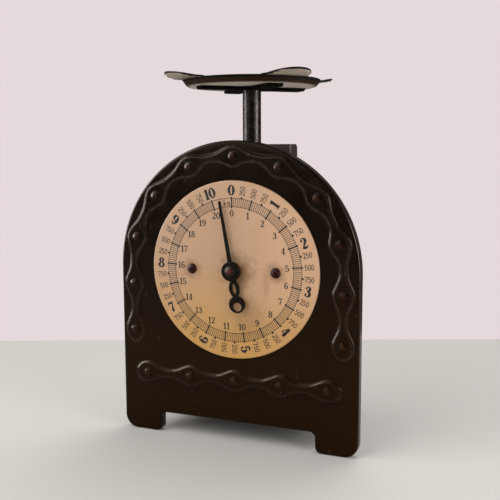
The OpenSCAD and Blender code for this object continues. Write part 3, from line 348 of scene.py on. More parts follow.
def chain_rise(s, d, beads, z):
    """Height of the relief at s along the chain and d beside it, and a value for worn paint,
    painted highlight and rust. The side is a quarter sine between foot and top; at the ends it
    runs between two ovals. A bead adds (1 - (r/R)^2)^DOME times its height. The value goes down
    to -1 on the chain's shoulder, where worn paint and a painted highlight go, and up to 1 on a
    bead, where rust goes."""
    wide = z.chain_wide / 2
    past = past_last(s, beads, z)
    straight = (chain_half(s, beads, z) + z.chain_slope - np.abs(d)) / z.chain_slope
    top = np.hypot(past / z.chain_end, d / wide)
    foot = np.hypot(past / (z.chain_end + z.chain_slope), d / (wide + z.chain_slope))
    outside = np.clip((1 - foot) * (wide + z.chain_slope), 0, None)
    inside = np.clip((top - 1) * wide, NEAR, None)
    share = np.where(past > 0, outside / (outside + inside) + np.clip(1 - top, 0, 1) * END_STEEP,
                     straight)
    # Worn paint and painted highlight are centred here on the shoulder.
    shoulder = np.exp(-((share - SHOULDER) / WEAR_SHEEN_SPREAD) ** 2)
    share = np.clip(share, 0, 1)
    nearest = np.clip(np.round(s / z.pitch), -beads, beads) * z.pitch
    from_bead = np.hypot(s - nearest, d) / z.bead_radius
    dome = np.clip(1 - from_bead ** 2, 0, 1) ** DOME
    wear = np.where(dome > 0, dome, -shoulder)
    return z.chain_height * np.sin(np.pi / 2 * share) + z.bead_height * dome, wear


def bead_stations(first, last, pitch):
    """Distances from first to last, close together near each bead and wider between."""
    knots = [first, last]
    for bead in np.arange(math.ceil((first - BEAD_ZONE) / pitch),
                          (last + BEAD_ZONE) / pitch) * pitch:
        knots += [bead - BEAD_ZONE, bead, bead + BEAD_ZONE]
    knots = sorted({round(float(k), 6) for k in knots if first <= k <= last})
    runs = []
    for a, b in zip(knots, knots[1:]):
        middle = (a + b) / 2 % pitch
        step = BEAD_ZONE / 8 if min(middle, pitch - middle) < BEAD_ZONE else STATION_GAP
        runs.append(np.linspace(a, b, max(2, round((b - a) / step) + 1)))
    return np.unique(np.round(np.concatenate(runs), 8))


def cross_lines(s, beads, near, far, relax, z):
    """Offsets beside the chain of the grid's lines: flats, slopes and top follow the chain's
    own outline, and past `relax` they spread evenly from near to far."""
    top = np.maximum(chain_half(s, beads, z), LEAST_TOP)[:, None]
    past = past_last(s, beads, z)
    oval = half_oval(past, z.chain_wide / 2 + z.chain_slope, z.chain_end + z.chain_slope)
    foot = np.where(past > 0, oval, top[:, 0] + z.chain_slope)[:, None]
    foot = np.maximum(foot, top + LEAST_SLOPE)
    flat = np.array([0, 0.2, 0.6, 1])
    slope = np.linspace(0, 1, 8)[:-1]
    lines = np.concatenate([
        near + (foot - near) * (1 - flat[:0:-1]), foot + (top - foot) * slope,
        top * np.linspace(1, -1, 19)[:-1],
        -(top + (foot - top) * slope), -foot + (far + foot) * flat[:-1],
        np.full_like(top, far)], axis=1)
    even = np.linspace(near, far, lines.shape[1])
    blend = smooth_step((np.abs(s) - relax) / (np.abs(s).max() - relax))[:, None]
    return lines * (1 - blend) + even * blend


def upright(points, height=0.0):
    """Points (across, up) set on the plate's front, at a height out of it."""
    across, up = points[..., 0], points[..., 1]
    return np.stack([across, np.broadcast_to(PLATE_FRONT - height, across.shape), up], -1)


def foot_grid(columns, z):
    """One foot below the gap's top: rows between its inner and outer outlines, drawn in by
    the edge's radius. The outlines are straight with quarter circles at the corners."""
    e = z.edge_radius
    gap_top = z.gap_height + e
    corner = z.gap_corner + e
    outer, inner = z.foot_outer - e, z.foot_inner - e
    turn = np.linspace(0, np.pi / 2, 9)
    down = np.linspace(0, np.pi / 2, 11)
    rows = np.concatenate([gap_top - corner + corner * np.cos(turn),
                           z.foot_outer - outer * np.sin(down)])
    lift = np.clip(rows - (gap_top - corner), 0, corner)
    left = z.gap_half - z.gap_corner + np.sqrt(corner ** 2 - lift ** 2)
    dip = np.clip(z.foot_inner - rows, 0, inner)
    left = np.where(rows < z.foot_inner,
                    z.gap_half + z.foot_inner - np.sqrt(inner ** 2 - dip ** 2), left)
    dip = np.clip(z.foot_outer - rows, 0, outer)
    right = z.radius - z.foot_outer + np.sqrt(outer ** 2 - dip ** 2)
    share = (columns - columns[0]) / (columns[-1] - columns[0])
    x = left[:, None] + (right - left)[:, None] * share
    return np.stack([x, np.broadcast_to(rows[:, None], x.shape)], -1)


def face_plate(z):
    """The pressed plate as one sheet: a band that follows the arched chain, a round field
    inside it, a field that follows the straight chain, two feet, and the folded edge carried
    round the whole outline."""
    sheet = Patches()
    mirror = [-1, 1]
    join = LOW_BAND + z.low_chain
    chain_r = z.radius - z.chain_in
    run = chain_r * math.pi / 2 + z.centre - join
    stop = chain_stop(z.arch_beads, z)
    s = bead_stations(0, z.arch_beads * z.pitch + BEAD_ZONE, z.pitch)
    s = np.concatenate([s, np.linspace(s[-1], stop, 12)[1:], np.linspace(stop, run, 6)[1:]])
    s = np.concatenate([-s[:0:-1], s])
    lines = cross_lines(s, z.arch_beads, z.chain_in - z.edge_radius, -ARCH_BAND, stop, z)
    turn = np.clip(s / chain_r, -np.pi / 2, np.pi / 2)[:, None]
    drop = (np.abs(s) - chain_r * np.abs(turn[:, 0]))[:, None]
    band = np.stack([(chain_r + lines) * np.sin(turn),
                     z.centre + (chain_r + lines) * np.cos(turn) - drop], -1)
    rise, wear = chain_rise(np.broadcast_to(s[:, None], lines.shape), lines, z.arch_beads, z)
    sheet.add(upright(band, rise), wear)

    side = band[-1, ::-1, 0]
    middle = bead_stations(0, side[0], z.pitch)
    notch = z.gap_half - z.gap_corner
    middle[np.argmin(np.abs(middle - notch))] = notch
    across = np.concatenate([middle[:-1], side])
    across = np.concatenate([-across[:0:-1], across])
    floor = z.gap_height + z.edge_radius
    low = cross_lines(across, z.low_beads, join - z.low_chain, floor - z.low_chain,
                      chain_stop(z.low_beads, z) + EVEN_PAST, z)
    low_x = np.broadcast_to(across[:, None], low.shape)
    low_band = np.stack([low_x, z.low_chain + low], -1)
    rise, wear = chain_rise(low_x, low, z.low_beads, z)
    sheet.add(upright(low_band, rise), wear)

    centre = np.array([0, z.centre])
    inner_row = np.stack([across, np.full_like(across, join)], -1)
    rim = np.concatenate([band[:, -1], inner_row[np.abs(across) < side[0] - NEAR][::-1]])
    ray = (rim - centre) / np.linalg.norm(rim - centre, axis=1)[:, None]
    hole = centre + z.bush_hole * ray
    field = hole[:, None] + (rim - hole)[:, None] * np.linspace(0, 1, 7)[None, :, None]
    sheet.add(upright(field), wrap=True, flip=True)

    foot = foot_grid(across[across >= notch - NEAR], z)
    sheet.add(upright(foot), flip=True)
    sheet.add(upright(foot * mirror))

    bottom = np.stack([across, np.full_like(across, floor)], -1)
    bottom = bottom[np.abs(across) < notch - NEAR][::-1]
    half_way = np.concatenate([low_band[-1, 1:], foot[1:, -1], foot[-1, -2::-1],
                               foot[-2::-1, 0]])
    line = np.concatenate([band[:, 0], half_way, bottom, (half_way * mirror)[::-1]])
    ahead = np.roll(line, -1, 0) - line
    ahead /= np.linalg.norm(ahead, axis=1)[:, None]
    along = ahead + np.roll(ahead, 1, 0)
    along /= np.linalg.norm(along, axis=1)[:, None]
    out = np.stack([-along[:, 1], along[:, 0]], -1)
    bend = np.linspace(0, np.pi / 2, 8)
    reach = np.append(z.edge_radius * np.sin(bend), z.edge_radius)
    back = np.append(z.edge_radius * (1 - np.cos(bend)), z.edge_depth)
    fold = line[:, None] + out[:, None] * reach[None, :, None]
    # The fold's bend gets the shoulder's value: worn paint and a painted highlight along the
    # bend.
    wear = -np.append(np.sin(bend) ** 4, 0.2)[None, :]
    sheet.add(upright(fold, -back), wear, wrap=True, flip=True)
    piece = sheet.make("face_plate", "wear")
    thicken(piece, z.sheet)
    return piece


# Dial print

# Strokes of the signs in a box one high, parted by semicolons. Each is a run of points on a
# smooth curve: across, up and width in hundredths. One that ends where it began is a ring.
STROKES = {
    "0": "8 50 19, 15.5 84 12, 29 97 5, 42.5 84 12, 50 50 19, 42.5 16 12, 29 3 5, 15.5 16 12,"
         "8 50 19",
    "1": "27 0 18, 27 50 18, 27 100 18; 6 83 5, 16 87 5, 24 97 6; 6 2.5 5, 27 2.5 5, 48 2.5 5",
    "2": "8 74 5, 12 90 5, 27 97 5, 43 88 14, 45 68 18, 31 42 12, 9 9 5;"
         "5 7 6, 20 8 15, 40 6 12, 50 10 5, 52 26 4",
    "3": "9 78 5, 13 92 5, 27 97 5, 40 86 15, 38 65 14, 20 53 5;"
         "19 53 5, 40 47 12, 46 27 19, 40 9 12, 25 3 5, 10 9 5, 7 23 5",
    "4": "38 0 17, 38 50 17, 38 100 17; 34 100 5, 18 64 5, 2 28 5; 2 27 5, 28 27 5, 56 27 5;"
         "24 2.5 5, 38 2.5 5, 52 2.5 5",
    "5": "12 93 12, 28 91 12, 45 95 5; 11 97 8, 10 72 8, 9 48 8;"
         "9 48 5, 26 60 5, 42 52 13, 48 32 19, 41 11 12, 26 3 5, 10 9 5, 7 22 5",
    "6": "46 86 5, 31 97 5, 16 80 12, 10 45 19, 16 13 12, 30 3 5, 44 14 13, 49 30 18, 44 47 12,"
         "31 56 5, 17 44 5",
    "7": "5 90 5, 18 93 13, 36 90 13, 52 95 5; 5 98 5, 5 86 5, 5 74 5;"
         "52 95 5, 38 62 8, 27 30 15, 24 0 19",
    "8": "13 74 15, 17 90 10, 28 97 5, 39 90 10, 43 74 15, 38 60 10, 28 53 6, 18 60 10, 13 74 15;"
         "8 27 18, 14 10 12, 28 3 5, 42 10 12, 48 27 18, 42 43 12, 28 53 5, 14 43 12, 8 27 18",
    "k": "10 0 13, 10 50 13, 10 100 13; 14 30 5, 27 47 5, 40 62 5; 20 38 10, 32 20 13, 44 0 13",
    "g": "10 38 14, 26 62 5, 40 38 14, 26 14 5, 10 38 14; 43 62 10, 43 10 13, 38 -20 10,"
         "22 -26 5, 10 -16 5",
}
# Terminal balls of the bold numerals: across, up and radius
BALLS = {"2": [(0.13, 0.76, 0.085)], "3": [(0.13, 0.79, 0.075), (0.12, 0.2, 0.085)],
         "5": [(0.12, 0.2, 0.085)], "6": [(0.43, 0.83, 0.075)], "9": [(0.14, 0.17, 0.075)]}
BALL_WEIGHT = 0.3               # Weight above which the balls are drawn
NINE_TURN = 0.57                # Sum of the places across of a 6 and of the 9 that it turns into
ADVANCE, NARROW = 0.6, {"1": 0.5}   # Width that a sign takes up, and the signs that take less
# Width of a thin stroke, and what is added to each width, at least and in a plain line
THIN, PEN, FINE_PEN = 0.05, 0.045, 0.065
CURVE_STEPS = 7                 # Steps of a curve from one given point to the next
DISC = np.sin(np.linspace(-np.pi / 2, np.pi / 2, 9))    # Stations across a round dot
# Weight (1 is the bold face, 0 a plain line) and width of the dial's four faces
KILO_FACE, GRAM_FACE, INNER_FACE, UNIT_FACE = (1.4, 1.12), (0.1, 0.95), (0.75, 1.15), (0.6, 1.1)


def strokes(sign):
    """The strokes of one sign as lists of (across, up, width). A 9 is a 6 turned round."""
    if sign == "9":
        return [[(NINE_TURN - x, 1 - y, w) for x, y, w in stroke] for stroke in strokes("6")]
    return [[tuple(float(v) / 100 for v in point.split()) for point in stroke.split(",")]
            for stroke in STROKES[sign].split(";")]


def smooth_line(points, closed):
    """A Catmull-Rom curve through points."""
    points = np.array(points, float)
    if closed:
        padded = np.concatenate([points[-2:-1], points, points[1:2]])
    else:
        padded = np.concatenate([2 * points[:1] - points[1:2], points,
                                 2 * points[-1:] - points[-2:-1]])
    t = np.linspace(0, 1, CURVE_STEPS, endpoint=False)[None, :, None]
    a, b, c, d = (padded[i:len(padded) - 3 + i][:, None] for i in range(4))
    curve = 0.5 * (2 * b + (c - a) * t + (2 * a - 5 * b + 4 * c - d) * t ** 2
                   + (3 * b - a - 3 * c + d) * t ** 3)
    return np.concatenate([curve.reshape(-1, points.shape[1]), points[-1:]])


def ribbon(points):
    """A flat ribbon: each point of the line moved half its width to either side."""
    closed = points[0][:2] == points[-1][:2]
    line = smooth_line(points, closed)
    way = np.gradient(line[:, :2], axis=0)
    if closed:
        way[0] = way[-1] = way[0] + way[-1]
    way /= np.linalg.norm(way, axis=1)[:, None]
    side = np.stack([-way[:, 1], way[:, 0]], -1) * line[:, 2:] / 2
    return np.stack([line[:, :2] + side, line[:, :2] - side], 1)


def disc(x, y, radius):
    """A round dot as a ribbon whose half width is sqrt(radius^2 - distance^2)."""
    half = radius * np.sqrt(1 - DISC ** 2)
    return np.stack([np.stack([x + radius * DISC, y + half], -1),
                     np.stack([x + radius * DISC, y - half], -1)], 1)


def glyph(sign, weight, wide):
    """The ribbons of one sign, drawn wider by a factor, and its balls where it is bold."""
    pen = max(PEN, FINE_PEN * (1 - weight))
    shapes = [ribbon([(x * wide, y, THIN + (w - THIN) * weight + pen) for x, y, w in stroke])
              for stroke in strokes(sign)]
    if weight > BALL_WEIGHT:
        shapes += [disc(x * wide, y, r * (0.4 + 0.6 * weight)) for x, y, r in BALLS.get(sign, [])]
    return shapes


def dial_point(radius, turn):
    """Place on the dial at a radius and a clockwise angle from up."""
    return np.stack([radius * np.sin(turn), radius * np.cos(turn)], -1)


class Print:
    """Flat print on the dial: ribbons placed in the dial's plane."""

    def __init__(self, centre, front):
        self.sheet, self.centre, self.front = Patches(), centre, front

    def lay(self, grid):
        self.sheet.add(np.stack([grid[..., 0], np.full(grid.shape[:2], self.front),
                                 self.centre + grid[..., 1]], -1))

    def word(self, text, face, height, middle, turn):
        """Text centred on a place and turned clockwise."""
        weight, wide = face
        advance = [NARROW.get(sign, ADVANCE) * wide for sign in text]
        x = -sum(advance) / 2
        c, s = math.cos(turn), math.sin(turn)
        for sign, step in zip(text, advance):
            for shape in glyph(sign, weight, wide):
                flat = (shape + [x, -0.5]) * height
                self.lay(np.stack([flat[..., 0] * c + flat[..., 1] * s,
                                   flat[..., 1] * c - flat[..., 0] * s], -1) + middle)
            x += step

    def marks(self, turns, inner, outer, width):
        """Straight marks along the radius."""
        for turn in turns:
            across = np.array([math.cos(turn), -math.sin(turn)]) * width / 2
            ends = dial_point(np.array([inner, outer]), turn)
            self.lay(np.stack([ends - across, ends + across], 1))

    def circle(self, radius, width):
        turn = np.linspace(0, 2 * np.pi, 241)
        self.lay(np.stack([dial_point(radius + width / 2, turn),
                           dial_point(radius - width / 2, turn)], 1))


def dial_print(z, centre, front):
    """Ten kilograms round the outside in steps of 50 g, and twenty halves inside."""
    ink = Print(centre, front - z.ink)
    half = z.span / 2
    steps = np.arange(201)
    fine = z.zero + steps[steps % 10 > 0] * half / 10
    ink.marks(fine, z.ring_inner, z.ring_outer, z.fine_line)
    ink.marks(z.zero + np.arange(21) * half, z.ring_inner - z.mark_over,
              z.ring_outer + z.mark_over, z.bold_line)
    ink.circle(z.ring_inner, z.fine_line)
    ink.circle(z.ring_outer, z.fine_line)
    for quarter in range(1, 40, 2):
        x, y = dial_point(z.ring_outer + z.bold_line / 2, z.zero + quarter * half / 2)
        ink.lay(disc(x, y, z.bold_line * 0.8))
    for kilo in range(11):
        turn = z.zero + kilo * z.span
        along = (0 if kilo % 10 == 0 else math.pi / 2) * (-1 if turn < math.pi else 1)
        ink.word(str(kilo), KILO_FACE, z.large, dial_point(z.large_at, turn), turn + along)
        for gram in range(1, 4) if kilo < 10 else ():
            at = turn + gram * z.span / 4
            reading = -math.pi / 2 if at < math.pi else math.pi / 2
            ink.word(str(250 * gram), GRAM_FACE, z.small, dial_point(z.small_at, at),
                     at + reading)
    for number in range(21):
        turn = z.zero + number * half
        ink.word(str(number), INNER_FACE, z.inner, dial_point(z.inner_at, turn), 0)
    unit = z.zero - half / 4
    ink.word("kg", UNIT_FACE, z.unit, dial_point((z.ring_inner + z.ring_outer) / 2, unit), unit)
    piece = ink.sheet.make("dial_print", smooth=False)
    thicken(piece, z.ink * 1.3)
    return piece


# Pointer

def pointer_blade(z):
    """The solid pointer with its outline pushed out in its own plane: each corner moves by the
    spread along the part of its normal that lies in that plane."""
    mesh = frame["nodes"]["pointer"].data.copy()
    weld(mesh, 1e-6, dissolve=False)
    count = len(mesh.vertices)
    points, normals = np.zeros(count * 3), np.zeros(count * 3)
    mesh.vertices.foreach_get("co", points)
    mesh.vertices.foreach_get("normal", normals)
    out = normals.reshape(-1, 3) * [1, 0, 1]
    size = np.linalg.norm(out, axis=1)[:, None]
    points = points.reshape(-1, 3) + z.spread * out / np.maximum(size, 1e-6) * (size > 0.05)
    mesh.vertices.foreach_set("co", points.reshape(-1))
    mesh.update()
    return link("pointer_blade", mesh)


# Pan

JOIN = 0.00035                  # Height over which the pan's wall and lobes melt together
LIP_FLAT, LIP_BEND = 0.0004, 0.0012         # Outermost part of the lip, and the bend inside it
LOBE_SIDE, LOBE_ROOT = 0.006, 0.004         # Past the rim, along and across which the lip grows
WALL_FOOT, WALL_TOP = 0.0005, 0.0012        # Browned wall: from past the floor to past the rim
RIM_WIDTH = 0.00105                         # Width of the black edge


def lobe_turns(z):
    """Angles from a lobe's middle to its straight side, to the hollow beside it and to that
    hollow's end on the rim."""
    hollow_r = z.rim + z.fillet
    hollow = math.asin((z.lobe_half + z.fillet) / hollow_r)
    return (math.atan2(z.lobe_half, z.reach - z.lobe_half),
            math.atan2(z.lobe_half, hollow_r * math.cos(hollow)), hollow)


def lobe_edge(a, z):
    """Radius of the pan's edge at an angle a from a lobe's middle: the lobe's end circle, its
    straight side, the hollow beside it, then the round rim."""
    a = np.abs(a)
    side_turn, start, hollow = lobe_turns(z)
    end, hollow_r = z.reach - z.lobe_half, z.rim + z.fillet
    circle = end * np.cos(a) + np.sqrt(np.clip(z.lobe_half ** 2 - (end * np.sin(a)) ** 2, 0, 1))
    side = z.lobe_half / np.sin(np.clip(a, side_turn / 2, 1))
    bow = z.fillet ** 2 - (hollow_r * np.sin(hollow - a)) ** 2
    curve = hollow_r * np.cos(hollow - a) - np.sqrt(np.clip(bow, 0, 1))
    radius = np.select([a < side_turn, a < start, a < hollow], [circle, side, curve], z.rim)
    return np.maximum(radius, z.rim)


def pan_rise(r, z):
    """Height of the pan's underside: flat, then a quarter-cosine wall, softly joined to lobes
    that rise with a power of the distance past the rim."""
    share = np.clip((r - z.floor) / (z.rim - z.floor), 0, None)
    wall = z.rim_height * (1 - np.cos(np.minimum(share, 1) * np.pi / 2)
                           + np.clip(share - 1, 0, None) * np.pi / 2)
    past = np.clip((r - z.rim) / (z.reach - z.rim), 0, None)
    lobe = (z.rim_height + 0.7 * JOIN * (1 - past)
            + (z.lobe_height - z.rim_height) * past ** z.flare)
    joined = -JOIN * np.log(np.exp(-wall / JOIN) + np.exp(-lobe / JOIN))
    return np.where(r < z.floor, 0, joined)


def pan(z, under):
    """The pan's underside as rings over the whole round, then rings over each lobe."""
    side_turn, start, hollow = lobe_turns(z)
    right_angle = math.pi / 2
    half = np.concatenate([np.linspace(0, side_turn * 0.8, 12),
                           np.linspace(side_turn * 0.8, start, 14)[1:],
                           np.linspace(start, hollow, 12)[1:]])
    lobe = np.concatenate([-half[:0:-1], half])
    quarter = np.concatenate([lobe, np.linspace(hollow, right_angle - hollow, 15)[1:-1]])
    turns = np.concatenate([quarter + k * right_angle for k in range(4)]) + z.turn
    rings = np.concatenate([np.linspace(z.hole, z.floor, 9), np.linspace(z.floor, z.rim, 15)[1:]])
    sheet = Patches()

    def lay(r, turn, edge, **options):
        """Adds rings, with the lip turned up along the lobes' edge. Their value is 0.8 on the
        wall and 1 on the rim."""
        inside = (smooth_step((edge - r - LIP_FLAT) / LIP_BEND)
                  * smooth_step((edge - z.rim) / LOBE_SIDE))
        lift = pan_rise(r, z) - z.lip * inside * smooth_step((r - z.rim) / LOBE_ROOT)
        wall = (smooth_step((r - z.floor - WALL_FOOT) / 0.002)
                * smooth_step((z.rim + WALL_TOP - r) / 0.0018))
        rim = smooth_step(1.5 - (edge - r) / RIM_WIDTH)
        sheet.add(np.stack([r * np.cos(turn), r * np.sin(turn), under + lift], -1),
                  np.maximum(0.8 * wall, rim), flip=True, **options)

    r, turn = np.meshgrid(rings, turns, indexing="xy")
    from_lobe = (turn - z.turn + np.pi / 4) % (np.pi / 2) - np.pi / 4
    lay(r, turn, lobe_edge(from_lobe, z), wrap=True)
    outward = np.append(1 - np.linspace(1, 0.12, 14) ** 1.2, [0.91, 0.94, 0.97, 1])
    edge = lobe_edge(lobe, z)[:, None]
    r = z.rim + (edge - z.rim) * outward
    for k in range(4):
        lay(r, np.broadcast_to((lobe + k * right_angle + z.turn)[:, None], r.shape), edge)
    piece = sheet.make("pan_sheet", "browned", near=2e-6)
    thicken(piece, z.sheet, bevel=0.0003)
    return piece


# Springs

COIL_STEPS = 22                 # Steps of the wire's line in one turn of the coil
WIRE_SIDES = 12                 # Sides of the round wire


def carried(side, way):
    """A direction across the wire carried on to the next one along it, without twist."""
    side = side - way * (side @ way)
    return side / np.linalg.norm(side)


def spring(name, middle_x, low, high, z):
    """Round wire carried along one line: hook ring, neck, helix, neck, hook ring."""
    hook = np.radians(np.linspace(30, 330, 26))
    ring = np.stack([0 * hook, z.hook * np.sin(hook), z.hook * np.cos(hook)], -1)
    t = np.linspace(0, 1, 16)[:-1]
    r = z.coil / 2 * np.sin(np.pi / 2 * t)
    swing = np.pi / 2 + np.pi * t
    neck = np.stack([r * np.cos(swing), r * np.sin(swing), z.hook + z.neck * t ** 2], -1)
    end = np.concatenate([ring, neck])
    reach = high - low - z.wire - 2 * z.hook
    steps = int(z.turns * COIL_STEPS)
    swing = 1.5 * np.pi + 2 * np.pi * z.turns * np.arange(steps + 1) / steps
    rise = np.linspace(z.hook + z.neck, reach - z.hook - z.neck, steps + 1)
    coil = np.stack([z.coil / 2 * np.cos(swing), z.coil / 2 * np.sin(swing), rise], -1)
    top = end[::-1] * [1, -1, -1] + [0, 0, reach]
    line = np.concatenate([end, coil, top]) + [middle_x, 0, low + z.wire / 2 + z.hook]
    way = np.gradient(line, axis=0)
    way /= np.linalg.norm(way, axis=1)[:, None]
    side = np.array(list(accumulate(way, carried, initial=np.array([1.0, 0, 0])))[1:])
    other = np.cross(way, side)
    turn = np.linspace(0, 2 * np.pi, WIRE_SIDES + 1)[None, :, None]
    round_wire = line[:, None] + z.wire / 2 * (np.cos(turn) * side[:, None]
                                               + np.sin(turn) * other[:, None])
    caps = np.stack([np.broadcast_to(line[i], (WIRE_SIDES + 1, 3)) for i in (0, -1)])
    wire = Patches()
    wire.add(np.concatenate([caps[:1], round_wire, caps[1:]]))
    return wire.make(name, near=1e-6)


# Shader helpers

class Tree:
    """Adds nodes to a node tree. A value may be a number, a colour or another node's socket,
    and patterns lie at `place` where no other is given."""

    def __init__(self, tree, place=None):
        self.tree, self.place = tree, place

    def node(self, kind, settings=(), **inputs):
        made = self.tree.nodes.new("ShaderNode" + kind)
        for key, value in dict(settings).items():
            setattr(made, key, value)
        for key, value in inputs.items():
            self.feed(made.inputs[key.replace("_", " ")], value)
        return made

    def feed(self, socket, value):
        if isinstance(value, bpy.types.NodeSocket):
            self.tree.links.new(value, socket)
        elif hasattr(value, "__len__"):
            socket.default_value = (tuple(value) + (1.0,))[:len(socket.default_value)]
        else:
            socket.default_value = value

    def math(self, operation, *values, kind="Math"):
        made = self.node(kind, {"operation": operation})
        for socket, value in zip(made.inputs, values):
            self.feed(socket, value)
        return made.outputs[0] if kind == "Math" else made.outputs["Value"]

    def times(self, *values):
        return self.math("MULTIPLY", *values)

    def plus(self, *values):
        return self.math("ADD", *values)

    def minus(self, *values):
        return self.math("SUBTRACT", *values)

    def most(self, first, *others):
        for other in others:
            first = self.math("MAXIMUM", first, other)
        return first

    def distance(self, first, second):
        return self.math("DISTANCE", first, second, kind="VectorMath")

    def part(self, axis, vector=None):
        """One coordinate of a vector."""
        return self.node("SeparateXYZ", Vector=vector or self.place).outputs[axis]

    def mix(self, share, first, second):
        made = self.node("Mix", {"data_type": "RGBA"})
        for index, value in ((0, share), (6, first), (7, second)):
            self.feed(made.inputs[index], value)
        return made.outputs[2]

    def scale(self, value, low, high, to_low=0.0, to_high=1.0):
        """A smooth step of value between low and high."""
        return self.node("MapRange", {"interpolation_type": "SMOOTHSTEP"}, Value=value,
                         From_Min=low, From_Max=high, To_Min=to_low, To_Max=to_high).outputs[0]

    def noise(self, scale, detail=3, roughness=0.55, place=None):
        return self.node("TexNoise", Vector=place or self.place, Scale=scale, Detail=detail,
                         Roughness=roughness).outputs[0]

    def sway(self, scale, detail, amount):
        """Noise that goes as far below zero as above it."""
        return self.times(self.minus(self.noise(scale, detail), 0.5), amount)

    def soft(self, scale, detail, low, high):
        """Soft patches between two values."""
        return self.scale(self.noise(scale, detail), 0.3, 0.7, low, high)

    def stretch(self, scale, turn=(0, 0, 0), move=(0, 0, 0)):
        return self.node("Mapping", Vector=self.place, Scale=scale, Rotation=turn,
                         Location=move).outputs[0]

    def bump(self, height, distance):
        return self.node("Bump", Height=height, Distance=distance).outputs[0]

    def grain(self, scale, detail, distance):
        """A fine bump of noise."""
        return self.bump(self.noise(scale, detail), distance)

    def group(self, name, place=None, **inputs):
        """The mask of a shared shader group, which is made once."""
        tree = bpy.data.node_groups.get(name) or GROUPS[name]()
        return self.node("Group", {"node_tree": tree}, Place=place or self.place,
                         **inputs).outputs[0]

    def spots(self, scale, edge, softness):
        return self.group("Spots", Scale=scale, Edge=edge, Softness=softness)

    def scratches(self, scale, edge):
        return self.group("Scratches", Scale=scale, Edge=edge)

    def halo(self, centre, reach, ragged, place=None):
        return self.group("Halo", place, Centre=centre, Reach=reach, Ragged=ragged)


def shader_group(name, **inputs):
    """An empty node group that takes a place and the given inputs and puts out a mask: its
    tree, what comes in, and the mask's socket."""
    group = bpy.data.node_groups.new(name, "ShaderNodeTree")
    sockets = group.interface
    sockets.new_socket("Place", in_out="INPUT", socket_type="NodeSocketVector")
    for label, default in inputs.items():
        kind = "NodeSocketVector" if hasattr(default, "__len__") else "NodeSocketFloat"
        sockets.new_socket(label, in_out="INPUT", socket_type=kind).default_value = default
    sockets.new_socket("Mask", in_out="OUTPUT", socket_type="NodeSocketFloat")
    given = group.nodes.new("NodeGroupInput").outputs
    return Tree(group, given["Place"]), given, group.nodes.new("NodeGroupOutput").inputs[0]


def spots_group():
    """Uneven spots: coarse and fine noise added, cut off above an edge."""
    t, given, mask = shader_group("Spots", Scale=200, Edge=0.6, Softness=0.05)
    coarse, fine = t.noise(given["Scale"]), t.noise(t.times(given["Scale"], 6.3))
    both = t.plus(t.times(coarse, 0.65), t.times(fine, 0.35))
    t.feed(mask, t.scale(both, given["Edge"], t.plus(given["Edge"], given["Softness"])))
    return t.tree


def scratches_group():
    """Short scratches: noise drawn out long in two directions, and cut off high."""
    t, given, mask = shader_group("Scratches", Scale=300, Edge=0.68)
    lines = []
    for turn, move in (((0.2, 0.5, 0), (0, 0, 0)), ((0, -0.9, 0.3), (3, 1, 2))):
        drawn = t.noise(given["Scale"], 2, place=t.stretch((1, 1, 0.12), turn, move))
        lines.append(t.scale(drawn, given["Edge"], t.plus(given["Edge"], 0.04)))
    t.feed(mask, t.times(t.most(*lines), t.scale(t.noise(45, 1), 0.45, 0.6)))
    return t.tree


def halo_group():
    """A ragged patch round a point: 1 at the point, 0 past the reach."""
    t, given, mask = shader_group("Halo", Centre=(0, 0, 0), Reach=0.01, Ragged=0.5)
    share = t.math("DIVIDE", t.distance(t.place, given["Centre"]), given["Reach"])
    wander = t.times(t.minus(t.noise(170, 4, 0.6), 0.5), given["Ragged"])
    t.feed(mask, t.scale(t.plus(share, wander), 1.0, 0.15))
    return t.tree


GROUPS = {"Spots": spots_group, "Scratches": scratches_group, "Halo": halo_group}


class Finish(Tree):
    """A material with its shader, whose patterns lie on the object's own coordinates."""

    def __init__(self, name):
        self.material = bpy.data.materials.new(name)
        self.material.use_nodes = True
        super().__init__(self.material.node_tree)
        self.own = self.node("TexCoord").outputs
        self.place = self.own["Object"]
        self.shader = self.tree.nodes["Principled BSDF"].inputs

    def set(self, **inputs):
        """Feeds the shader's sockets by their names."""
        for key, value in inputs.items():
            self.feed(self.shader[key.replace("_", " ")], value)
        return self

    def attribute(self, name):
        return self.node("Attribute", {"attribute_name": name}).outputs["Fac"]


def shade(tint, factor):
    """A darker or brighter shade of a colour."""
    return tuple(min(1, factor * v) for v in tint)


# Finishes

